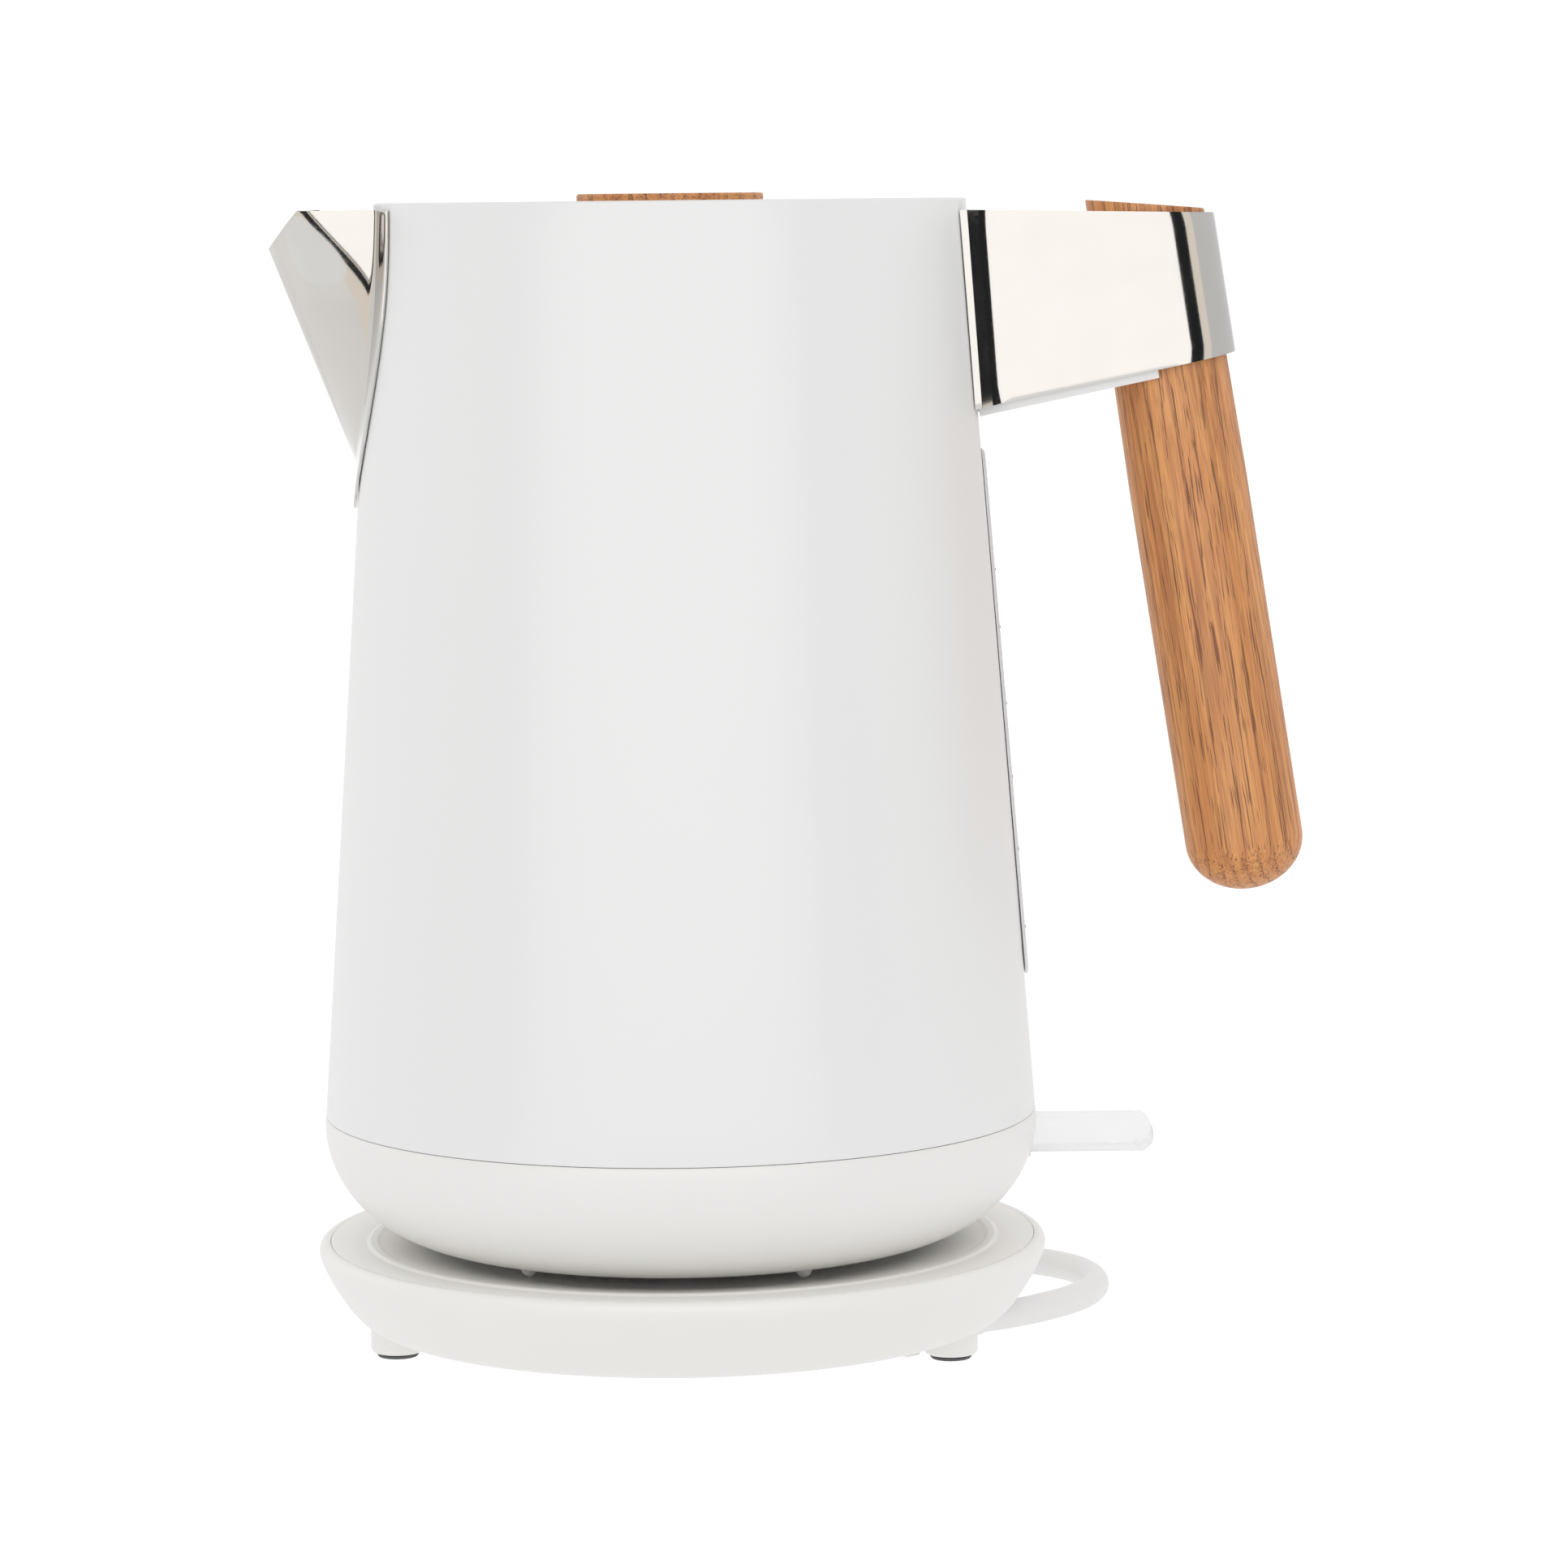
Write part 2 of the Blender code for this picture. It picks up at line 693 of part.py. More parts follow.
# ---- bowl, floor and controls of the jug ----
def make_lower_shell(group):
    middle = BOWL_FLOOR_Z + BOWL_TALL
    outline = [(SEAM_R, SEAM_Z - GAP)]
    outline += oval(BOWL_FLOOR_R, middle, BOWL_WIDE, BOWL_TALL, 0, -90, 8)
    outline += [
        (SOCKET_HOLE_R, BOWL_FLOOR_Z),
        (SOCKET_HOLE_R, BOWL_FLOOR_Z + BOWL_WALL),
    ]
    inner = (BOWL_WIDE - BOWL_WALL, BOWL_TALL - BOWL_WALL)
    outline += oval(BOWL_FLOOR_R, middle, *inner, -90, -12, 5)
    outline += [(0.0734, 0.0500), (0.0734, 0.0550), (0.0757, 0.0550), (0.0757, SEAM_Z - GAP)]
    shell = put("lower_shell", turned(outline), WHITE_PLASTIC, group)
    bumps = []
    for angle in BUMP_ANGLES:
        x, y = on_circle(BUMP_CIRCLE_R, angle)
        inside = BOWL_FLOOR_Z + 0.0012
        peg = [(0, inside), (BUMP_R, inside), (BUMP_R, BUMP_LOW_Z + 0.0008)]
        peg += [(BUMP_R - 0.0008, BUMP_LOW_Z), (0, BUMP_LOW_Z)]
        bumps.append(turned(peg, TINY_ROUND, x, y))
    ears = [
        box((0.0700, y, 0.0425), (0.0760, y + 0.0022, 0.0510)) for y in (-0.0086, 0.0064)
    ]
    boolean(shell, cutter("shell_bumps", join(*bumps), group), "UNION")
    boolean(shell, cutter("pin_ears", join(*ears), group), "UNION")
    slot = box((0.0660, -SLOT_HALF, 0.0414), (0.0840, SLOT_HALF, 0.0512))
    boolean(shell, cutter("lever_slot", slot, group))
    pin_hole = rod((PIN_X, -0.0082, PIN_Z), (PIN_X, 0.0082, PIN_Z), 0.0013, 12)
    boolean(shell, cutter("pin_hole", pin_hole, group))
    holes = ring_of_holes(SHELL_SCREW_CIRCLE, SHELL_SCREWS, 0.020, 0.030)
    boolean(shell, cutter("shell_screw_holes", holes, group))


def ring_of_holes(radius, angles, low, high):
    places = [on_circle(radius, angle) for angle in angles]
    return join(*[rod((x, y, low), (x, y, high), 0.0019) for x, y in places])


def make_shell_screws(group):
    for k, angle in enumerate(SHELL_SCREWS):
        head = (*on_circle(SHELL_SCREW_CIRCLE, angle), BOWL_FLOOR_Z - GAP - 0.0015)
        screw(f"shell_screw_{k + 1}", head, (0, 0, 1), group)


def make_heater(group):
    x, y = on_circle(STEAM_R, STEAM_ANGLE)
    thick = 0.0012
    plate = put(
        "element_plate",
        turned(
            [
                (0, PLATE_Z),
                (PLATE_R, PLATE_Z - 0.0006),
                (PLATE_R, PLATE_Z + thick - 0.0006),
                (0, PLATE_Z + thick),
            ]
        ),
        BRUSHED_STEEL,
        group,
    )
    boolean(plate, cutter("steam_hole", rod((x, y, 0.05), (x, y, 0.062), 0.0039), group))
    seal = [
        (PLATE_R + GAP, PLATE_Z - 0.0006),
        (PLATE_R + 0.0033, PLATE_Z - 0.0006),
        (PLATE_R + 0.0033, PLATE_Z + 0.0020),
        (PLATE_R + GAP, PLATE_Z + 0.0020),
    ]
    put("element_seal", turned(seal), SILICONE, group)
    ring = [(*on_circle(ELEMENT_R, 80 + 16 * k), PLATE_Z - 0.0042) for k in range(21)]
    tube("heating_element", ring, 0.0033, BRUSHED_STEEL, group)
    pipe = [(0.0025, 0.0475), (0.0036, 0.0475), (0.0036, 0.2320), (0.0025, 0.2320)]
    put("steam_tube", turned(pipe, TINY_ROUND, x, y), WHITE_PLASTIC, group)
    disc = [(0, 0.0440), (0.0060, 0.0434), (0.0060, 0.0438), (0, 0.0445)]
    put("bimetal_disc", turned(disc, TINY_ROUND, x, y), BRASS, group)


def make_control(group):
    """The moulded cut-out under the jug's floor, with ears for the trip lever."""
    body = bevelled_box((-0.024, -0.019, 0.0405), (0.046, 0.019, 0.0485), 0.002)
    control = put("thermostat_control", body, BLACK_PLASTIC, group)
    ears = [
        box((0.0440, y, 0.0410), (0.0540, y + 0.0024, 0.0480)) for y in (-0.0080, 0.0056)
    ]
    boolean(control, cutter("trip_ears", join(*ears), group), "UNION")
    hole = rod((TRIP_X, -0.010, TRIP_Z), (TRIP_X, 0.010, TRIP_Z), 0.0016, 12)
    boolean(control, cutter("trip_hole", hole, group))
    strip = arc(0.0440, 0.0330, 0.0042, 60, 300, 8)
    inner = arc(0.0440, 0.0330, 0.0038, 300, 60, 8)
    rings = [[(x, y, z) for x, z in strip + inner] for y in (-0.0025, 0.0025)]
    put("overcentre_spring", loft(rings), BRUSHED_STEEL, group)
    lamp = [(0, 0), (0.0018, 0.0)] + arc(0, 0.0060, 0.0018, 0, 90, 4)
    lens = aim(turned(lamp, TINY_ROUND), (0.056, 0.0135, 0.046), (1, 0, 0))
    put("indicator_lamp", lens, LAMP, group)


def make_trip_lever(group):
    bar = box((TRIP_X - 0.004, -0.0050, TRIP_Z - 0.0013), (0.0630, 0.0050, TRIP_Z + 0.0013))
    lever = put("trip_lever", bar, BLACK_PLASTIC, group)
    axle = rod((TRIP_X, -0.0076, TRIP_Z), (TRIP_X, 0.0076, TRIP_Z), 0.0012, 12)
    boolean(lever, cutter("trip_axle", axle, group), "UNION")


def make_socket(group):
    """The jug's half of the connector, hollow for the base's tower."""
    outline = [
        (0.0125, 0.0255),
        (0.0189, 0.0255),
        (0.0189, 0.0276),
        (0.0240, 0.0276),
        (0.0240, 0.0295),
        (0.0170, 0.0295),
        (0.0170, 0.0402),
        (0, 0.0402),
        (0, 0.0397),
        (0.0040, 0.0397),
        (0.0040, 0.0370),
        (0.0085, 0.0370),
        (0.0085, 0.0315),
        (0.0125, 0.0315),
    ]
    bm = turned(outline[8:] + outline[:8], SMALL_ROUND)
    put("connector_socket", bm, BLACK_PLASTIC, group)


def make_switch(group):
    """The clear paddle, with a round tip, and the arm that reaches the trip lever."""
    thick, half = LEVER_HALF_THICK, LEVER_HALF_WIDE
    profile = [(0.0640, -thick * 0.5), (0.0700, -thick)]
    profile += arc(LEVER_TIP_X - 0.0030, -thick + 0.0030, 0.0030, -90, 0, 3)
    profile += arc(LEVER_TIP_X - 0.0030, thick - 0.0030, 0.0030, 0, 90, 3)
    profile += [(0.0700, thick), (0.0640, thick * 0.5)]
    rings = []
    for y, inset in ((-half, 0.0008), (-half + 0.0008, 0), (half - 0.0008, 0), (half, 0.0008)):
        middle_x = (0.0640 + LEVER_TIP_X) / 2
        rings.append(
            [
                (
                    x - math.copysign(inset, x - middle_x),
                    y,
                    LEVER_MID_Z + z * (1 - inset / thick),
                )
                for x, z in profile
            ]
        )
    lever = put("switch_lever", loft(rings), CLEAR, group)
    hole = rod((PIN_X, -0.02, PIN_Z), (PIN_X, 0.02, PIN_Z), 0.0013, 12)
    boolean(lever, cutter("lever_pin_hole", hole, group))


def make_switch_pin(group):
    pin = rod((PIN_X, -0.0079, PIN_Z), (PIN_X, 0.0079, PIN_Z), 0.0010, 12)
    put("switch_pin", pin, BRUSHED_STEEL, group)


# ---- lid ----
def make_lid_seat(group):
    """The ring inside the jug's neck that the lid rests on."""
    high = 0.2432
    low = high - 0.0012
    wall = cone_radius(high) - WALL - GAP
    outline = [(0.0595, low), (wall, low), (wall, high), (0.0595, high)]
    put("lid_seat", turned(outline), BRUSHED_STEEL, group)


def make_lid(group):
    top, thick = LID_TOP_Z, 0.0015
    dish, floor = LID_DISH_R, LID_DISH_Z
    cover = [
        (0.0030, floor),
        (dish - 0.0030, floor),
        (dish, floor + 0.0030),
        (dish + 0.0010, top - 0.0010),
        (dish + 0.0020, top),
        (LID_R, top),
        (LID_R, 0.2472),
        (LID_R - 0.0012, 0.2472),
        (LID_R - 0.0012, 0.2436),
        (LID_R - 0.0030, 0.2436),
        (LID_R - 0.0030, top - thick),
        (dish + 0.0030, top - thick),
        (dish + 0.0014, floor + 0.0030),
        (dish - 0.0020, floor - thick),
        (0.0030, floor - thick),
    ]
    put("lid_cover", turned(cover), WHITE_STEEL, group)
    seal = [
        (LID_R - 0.0009, 0.2438),
        (LID_R + 0.0005, 0.2438),
        (LID_R + 0.0013, 0.2446),
        (LID_R + 0.0007, 0.2456),
        (LID_R + 0.0013, 0.2466),
        (LID_R - 0.0009, 0.2469),
    ]
    put("lid_seal", turned(seal), SILICONE, group)
    under_top = floor - thick - GAP
    under = [
        (0.0030, under_top - 0.0030),
        (0.0400, under_top - 0.0030),
        (0.0412, under_top - 0.0018),
        (0.0412, under_top),
        (0.0400, under_top),
        (0.0394, under_top - 0.0018),
        (0.0030, under_top - 0.0018),
    ]
    put("lid_underplate", turned(under, SMALL_ROUND), BRUSHED_STEEL, group)
    knob_low = KNOB_TOP_Z - KNOB_THICK
    stem = [
        (0.0021, floor + GAP),
        (0.0070, floor + GAP),
        (0.0055, floor + 0.0030),
        (0.0055, knob_low - GAP - 0.0010),
        (0.0080, knob_low - GAP),
        (0.0021, knob_low - GAP),
    ]
    put("knob_stem", turned(stem, TINY_ROUND), POLISHED_STEEL, group)
    edge = 0.0006
    knob = [
        (0, knob_low),
        (KNOB_R - 0.0030, knob_low),
        (KNOB_R - 0.0008, knob_low + 0.0012),
        (KNOB_R, knob_low + 0.0030),
        (KNOB_R, KNOB_TOP_Z - edge),
        (KNOB_R - edge, KNOB_TOP_Z),
        (0, KNOB_TOP_Z),
    ]
    disc = put("lid_knob", turned(knob), OAK, group)
    hole = rod((0, 0, knob_low - 0.001), (0, 0, knob_low + 0.0055), 0.0021, 12)
    boolean(disc, cutter("knob_pilot_hole", hole, group))
    head = (0, 0, under_top - 0.0030 - GAP - 0.0015)
    length = knob_low + 0.0030 - head[2]
    screw("lid_screw", head, (0, 0, 1), group, shank_r=0.0018, length=length, head_r=0.0036)


# ---- power base ----
def make_base_shell(group):
    outline = [
        (0, UNDERSIDE_Z),
        (0.0640, UNDERSIDE_Z),
        (0.0690, 0.0077),
        (0.0725, 0.0105),
        (0.0760, 0.0155),
        (0.0786, 0.0205),
        (0.0793, 0.0230),
        (0.0789, 0.0243),
        (0.0776, COVER_Z),
        (COVER_R + GAP, COVER_Z - 0.0005),
        (COVER_R + GAP, LEDGE_Z),
        (0.0746, LEDGE_Z),
        (0.0746, 0.0175),
        (0.0705, 0.0112),
        (0.0660, 0.0084),
        (0, 0.0084),
    ]
    shell = put("base_shell", turned(outline), WHITE_PLASTIC, group)
    posts = []
    for radius, angle in FEET:
        x, y = on_circle(radius, angle)
        post = [(0, PAD_THICK + GAP)]
        post += arc(FOOT_R - 0.0012, PAD_THICK + GAP + 0.0012, 0.0012, -90, 0, 2)
        post += [(FOOT_R, 0.0090), (0, 0.0090)]
        posts.append(turned(post, 16, x, y))
    boolean(shell, cutter("foot_posts", join(*posts), group), "UNION")
    roof = box((-0.0065, -0.0360, 0.0070), (0.0065, 0.0000, 0.0140))
    boolean(shell, cutter("channel_roof", along_gland(roof), group), "UNION")
    channel = box((-0.0050, -0.0340, -0.0010), (0.0050, 0.0150, 0.0125))
    boolean(shell, cutter("cord_channel", along_gland(channel), group))
    holes = ring_of_holes(BASE_SCREW_CIRCLE, BASE_SCREWS, 0.004, 0.010)
    boolean(shell, cutter("base_screw_holes", holes, group))


def along_gland(bm):
    """Turn what is drawn along +Y to the heading of the gland, with 0, 0 at its mouth."""
    turn = Matrix.Rotation(math.radians(GLAND_HEADING - 90), 4, "Z")
    place = Matrix.Translation((GLAND_MOUTH[0], GLAND_MOUTH[1], 0))
    bmesh.ops.transform(bm, verts=bm.verts, matrix=place @ turn)
    return bm


def make_base_top(group):
    outline = [
        (COVER_R, LEDGE_Z + GAP),
        (COVER_R, COVER_Z),
        (0.0691, 0.0245),
        (0.0682, 0.0249),
        (0.0668, 0.0248),
        (0.0655, 0.0241),
        (0.0600, 0.0231),
        (0.0535, DISH_Z),
        (0.0165, DISH_Z),
        (0.0165, DISH_Z - 0.0020),
        (0.0540, DISH_Z - 0.0020),
        (0.0665, LEDGE_Z + GAP),
    ]
    put("base_top", turned(outline), WHITE_PLASTIC, group)


def make_connector(group):
    tower = [
        (0, 0.0087),
        (0.0200, 0.0087),
        (0.0200, 0.0114),
        (TOWER_R, 0.0114),
        (TOWER_R, 0.0300),
        (0.0112, 0.0303),
        (0.0075, 0.0303),
        (0.0075, 0.0350),
        (0.0072, 0.0353),
        (0, 0.0353),
    ]
    put("base_connector", turned(tower, SMALL_ROUND), BLACK_PLASTIC, group)
    ring = [(0.0078, 0.0306), (0.0106, 0.0306), (0.0106, 0.0310), (0.0078, 0.0310)]
    put("contact_ring", turned(ring, SMALL_ROUND), BRASS, group)
    pin = [(0, 0.0356), (0.0026, 0.0356), (0.0026, 0.0377), (0.0016, 0.0387), (0, 0.0387)]
    put("contact_pin", turned(pin, TINY_ROUND), BRASS, group)
    turns, each, radius = 3, 12, 0.0136
    low, high = 0.0124, 0.0217
    coil = [
        (*on_circle(radius, 360 * k / each), low + (high - low) * k / (turns * each))
        for k in range(turns * each + 1)
    ]
    tube("shutter_spring", coil, 0.0006, BRUSHED_STEEL, group, 1)


def make_shutter(group):
    ring = [
        (0.0121, SHUTTER_Z),
        (0.0158, SHUTTER_Z),
        (0.0158, SHUTTER_Z + 0.0020),
        (0.0154, SHUTTER_Z + 0.0024),
        (0.0125, SHUTTER_Z + 0.0024),
        (0.0121, SHUTTER_Z + 0.0020),
    ]
    put("contact_shutter", turned(ring, SMALL_ROUND), WHITE_PLASTIC, group)


def make_feet(group):
    for k, (radius, angle) in enumerate(FEET):
        x, y = on_circle(radius, angle)
        pad = [(0, 0), (PAD_R - 0.0003, 0), (PAD_R, 0.0003), (PAD_R, PAD_THICK), (0, PAD_THICK)]
        put(f"foot_pad_{k + 1}", turned(pad, 16, x, y), DARK_RUBBER, group)


def make_base_screws(group):
    for k, angle in enumerate(BASE_SCREWS):
        head = (*on_circle(BASE_SCREW_CIRCLE, angle), UNDERSIDE_Z - GAP - 0.0015)
        screw(f"base_screw_{k + 1}", head, (0, 0, 1), group)


# ---- cord ----
def make_gland(group):
    mouth = Vector(GLAND_MOUTH)
    angle = math.radians(GLAND_HEADING)
    back = Vector((-math.cos(angle), -math.sin(angle), 0.11)).normalized()
    taper = [
        (0, 0),
        (CORD_R + 0.0004, 0),
        (CORD_R + 0.0011, GLAND_LENGTH - 0.0030),
        (CORD_R + 0.0014, GLAND_LENGTH - 0.0030),
        (CORD_R + 0.0014, GLAND_LENGTH),
        (0, GLAND_LENGTH),
    ]
    put("cord_gland", aim(turned(taper, TINY_ROUND), mouth, back), CORD_WHITE, group)
    low, high, half, inner = 0.0010, 0.0057, 0.0072, 0.0058
    outline = [
        (-half, high),
        (-half, low),
        (half, low),
        (half, high),
        (inner, high),
        (inner, low + 0.0011),
        (-inner, low + 0.0011),
        (-inner, high),
    ]
    rings = [[(x, y, z) for x, z in outline] for y in (-0.0300, -0.0260)]
    put("cord_clamp", along_gland(loft(rings)), WHITE_PLASTIC, group)


def cord_route():
    """The stretch that lies open: out of the gland, round behind the base and up to the coil."""
    x, y, z = GLAND_MOUTH
    return [
        (x, y, z),
        (0.0725, 0.0132, 0.0034),
        (0.0800, 0.0208, CORD_Z),
        (0.0866, 0.0291, CORD_Z),
        (0.0913, 0.0388, CORD_Z),
        (0.0929, 0.0497, CORD_Z),
        (0.0908, 0.0606, CORD_Z),
        (0.0851, 0.0699, CORD_Z),
        (0.0764, 0.0765, CORD_Z),
        (0.0656, 0.0803, CORD_Z),
        (0.0540, 0.0827, 0.0036),
        (0.0440, 0.0845, 0.0040),
        (0.0362, 0.0856, 0.0043),
    ]


def make_cord(group):
    route = cord_route()
    angle = math.radians(GLAND_HEADING)
    x, y, z = route[0]
    route[0] = (x + GAP * math.cos(angle), y + GAP * math.sin(angle), z)
    tube("power_cord", smooth_curve(route, 3), CORD_R, CORD_WHITE, group)
    inner = COIL_MID_R - 2 * CORD_R
    outer = COIL_MID_R + 2 * CORD_R
    low = COIL_LIFT + 0.0001
    high = low + 4 * CORD_R + 0.0002
    edge = 0.0020
    section = [
        (inner + edge, low),
        (outer - edge, low),
        (outer, low + edge),
        (outer, high - edge),
        (outer - edge, high),
        (inner + edge, high),
        (inner, high - edge),
        (inner, low + edge),
    ]
    put("cord_coil", turned(section, 32, COIL_X, COIL_Y), CORD_WHITE, group)
    make_tie(group, inner, outer, low, high)


def make_tie(group, inner, outer, low, high):
    """A strap round the coil's turns, on the side away from the plug."""
    thick = 0.0007
    middle = ((inner + outer) / 2, (low + high) / 2)
    frames = []
    for grow in (thick, 0):
        wide = outer - inner + 2 * (grow + 2 * GAP)
        tall = high - low + 2 * (grow + GAP)
        frames.append(rounded_rectangle(wide, tall, 0.0015 + grow, 2))
    half = 0.0030
    rings = [
        [(middle[0] + u, y, middle[1] + v) for u, v in frames[0]] for y in (-half, half)
    ]
    holes = [
        [(middle[0] + u, y, middle[1] + v) for u, v in frames[1]]
        for y in (-half - 0.002, half + 0.002)
    ]
    turn = Matrix.Translation((COIL_X, COIL_Y, 0)) @ Matrix.Rotation(math.radians(20), 4, "Z")
    strap, hole = loft(rings), loft(holes)
    for bm in (strap, hole):
        bmesh.ops.transform(bm, verts=bm.verts, matrix=turn)
    tie = put("cord_tie", strap, BLACK_PLASTIC, group)
    boolean(tie, cutter("tie_hole", hole, group))


def make_plug(group):
    """A moulded mains plug that lies on its back, with its pins up."""
    x = COIL_X - COIL_MID_R - CORD_R
    y = COIL_Y + PLUG_GAP_Y
    entry_z = 0.0102
    boot_length = 0.0200
    boot = [
        (0, 0),
        (CORD_R + 0.0004, 0),
        (CORD_R + 0.0019, boot_length - 0.0010),
        (CORD_R + 0.0019, boot_length),
        (0, boot_length),
    ]
    put("plug_boot", aim(turned(boot, TINY_ROUND), (x, y, entry_z), (0, 1, 0)), CORD_WHITE, group)
    low_y = y + boot_length + GAP
    wide, long = 0.0460, 0.0440
    insets = {
        0.0002: 0.0050,
        0.0012: 0.0020,
        0.0040: 0.0,
        0.0150: 0.0,
        0.0190: 0.0012,
        0.0200: 0.0030,
    }
    rings = []
    for z, inset in insets.items():
        outline = rounded_rectangle(wide - 2 * inset, long - 2 * inset, 0.0110 - inset)
        rings.append([(x + u, low_y + long / 2 + v, z) for u, v in outline])
    put("plug_body", loft(rings), CORD_WHITE, group)
    face = 0.0200 + GAP
    for name, px, py, size_x, size_y, length in (
        ("plug_pin_live", 0.0111, 0.0125, 0.00635, 0.0040, 0.0177),
        ("plug_pin_neutral", -0.0111, 0.0125, 0.00635, 0.0040, 0.0177),
        ("plug_pin_earth", 0.0, 0.0347, 0.0040, 0.0080, 0.0227),
    ):
        low = Vector((x + px - size_x / 2, low_y + py - size_y / 2, face))
        high = low + Vector((size_x, size_y, length))
        put(name, bevelled_box(low, high, 0.0006, 1), BRASS, group)


# ---- the whole kettle ----
def build():
    clear_scene()
    root = empty("kettle_origin", (JUG_X, 0, 0))
    groups = {}
    for name, place in (
        ("base", (0, 0, 0)),
        ("shutter", (0, 0, SHUTTER_Z)),
        ("jug", (0, 0, BOWL_FLOOR_Z)),
        ("lid", (0, 0, LID_TOP_Z)),
        ("switch", (PIN_X, 0, PIN_Z)),
        ("trip", (TRIP_X, 0, TRIP_Z)),
    ):
        groups[name] = empty(f"{name}_group", place, root)
        groups[name]["centre"] = place
    makers = {
        "base": (
            make_base_shell,
            make_base_top,
            make_connector,
            make_feet,
            make_base_screws,
            make_gland,
            make_cord,
            make_plug,
        ),
        "shutter": (make_shutter,),
        "jug": (
            make_jug_body,
            make_spout,
            make_spout_filter,
            make_bracket,
            make_liner,
            make_grip,
            make_handle_screws,
            make_window,
            make_window_seal,
            make_lower_shell,
            make_shell_screws,
            make_heater,
            make_control,
            make_socket,
            make_switch_pin,
            make_lid_seat,
        ),
        "lid": (make_lid,),
        "switch": (make_switch,),
        "trip": (make_trip_lever,),
    }
    for name, makes in makers.items():
        for make in makes:
            make(groups[name])


build()
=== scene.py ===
"""The looks of a cordless electric kettle on its powered base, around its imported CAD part.

Pieces are drawn in metres about the jug's vertical axis, with the spout towards -X and the
handle towards +X, and then moved to the row frame by JUG_X.
"""

import math

import bmesh
import bpy
from mathutils import Matrix, Vector


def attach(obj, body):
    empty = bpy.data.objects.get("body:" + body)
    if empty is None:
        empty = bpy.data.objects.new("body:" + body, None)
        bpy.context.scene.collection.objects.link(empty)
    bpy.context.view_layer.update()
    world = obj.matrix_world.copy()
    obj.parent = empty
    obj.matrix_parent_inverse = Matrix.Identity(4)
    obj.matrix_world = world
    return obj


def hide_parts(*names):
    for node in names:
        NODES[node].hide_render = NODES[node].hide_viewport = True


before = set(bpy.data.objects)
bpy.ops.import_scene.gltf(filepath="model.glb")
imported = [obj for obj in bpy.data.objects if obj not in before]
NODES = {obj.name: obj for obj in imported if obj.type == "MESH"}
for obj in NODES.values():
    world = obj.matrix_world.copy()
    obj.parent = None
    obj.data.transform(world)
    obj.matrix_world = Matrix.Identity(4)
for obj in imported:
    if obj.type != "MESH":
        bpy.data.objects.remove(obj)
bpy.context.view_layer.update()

# ---- the CAD part's dimensions ----
JUG_X = -0.0246  # the jug's axis, seen from the middle of the kettle's box
GAP = 0.0003
RIM_Z = 0.2498
RIM_R = 0.0635
SEAM_Z = 0.0530
SEAM_R = 0.0773
WALL = 0.0012
FLAT_TOP_Z = 0.2400
FLAT_INSET = 0.0002
FLAT_SLOPE = 0.0775
BOWL_FLOOR_Z = 0.0250
BOWL_FLOOR_R = 0.0490
BOWL_WIDE = 0.0285
BOWL_TALL = 0.0260
BOWL_WALL = 0.0022
BOWL_RIM_R = 0.0757  # the inside of the bowl's top edge
BOWL_STEP_R = 0.0734  # the inside of the step that locates the jug
SOCKET_HOLE_R = 0.0193
SHELL_SCREW_CIRCLE = 0.0380
SHELL_SCREWS = (30, 150, 270)
SCREW_HOLE_R = 0.0019
BRACKET_SCREW_HEIGHTS = (0.2360, 0.2160)
GRIP_SCREW_Z = 0.2270
BUMP_CIRCLE_R = 0.0497
BUMP_R = 0.00175
BUMP_LOW_Z = 0.0230
BEAK_TIP = (-0.0864, 0.2402)
BEAK_FOOT = (-0.0686, 0.1947)
BEAK_TOP = (-0.0788, 0.2483)
BEAK_HALF = 0.0205
FLANGE_HALF = 0.0270
FLANGE_LOW_Z = 0.1843
FLANGE_WIDEST_Z = 0.2325
SHEET = 0.0010
GRIP_TOP_X = 0.1019
GRIP_TOP_Z = 0.2480
GRIP_SLOPE = 0.1540
GRIP_R = 0.01275
GRIP_NECK_R = 0.01245
GRIP_LENGTH = 0.1500
GRIP_DOME = 0.0110
GRIP_FLAT = ((0.0899, 0.2489), (0.1142, 0.2470))  # the slanted cut across the grip's top
BAND_Z = 0.2460
BAND_HALF = 0.0145
BAND_FLARE = 0.0026
BAND_TOP = (0.0636, 0.2471, -0.0197)
BAND_LOW = (0.0636, 0.2046, 0.2038)
LINER_LOWER = 0.0018
WINDOW_TOP_Z = 0.1959
WINDOW_LOW_Z = 0.0820
WINDOW_WIDE = 0.0180
WINDOW_PROUD = 0.0010
WINDOW_PLUG_WIDE = 0.0100
WINDOW_MID_Z = (WINDOW_TOP_Z + WINDOW_LOW_Z) / 2
LEVEL_HEIGHTS = (0.0926, 0.1095, 0.1253, 0.1412, 0.1577, 0.1701)
LID_TOP_Z = 0.2480
LID_R = 0.0606
KNOB_TOP_Z = 0.2513
KNOB_R = 0.02005
KNOB_THICK = 0.0080
LID_DISH_R = 0.0430
LID_DISH_Z = 0.2300
LEVER_TIP_X = 0.1028
LEVER_MID_Z = 0.0465
LEVER_HALF_THICK = 0.0036
LEVER_HALF_WIDE = 0.0053
SLOT_HALF = 0.0059
SLOT_LOW_Z = 0.0414
SLOT_HIGH_Z = 0.0512
EAR_SIDES = (-0.0086, 0.0064)  # where each of the two ears beside the slot starts, along Y
EAR_THICK = 0.0022
PIN_X = 0.0735
PIN_Z = 0.0470
PIN_HOLE_R = 0.0013
PIN_HOLE_HALF = 0.0082
DISH_Z = 0.0224
COVER_Z = 0.0250
COVER_R = 0.0768
LEDGE_Z = 0.0225
UNDERSIDE_Z = 0.0064
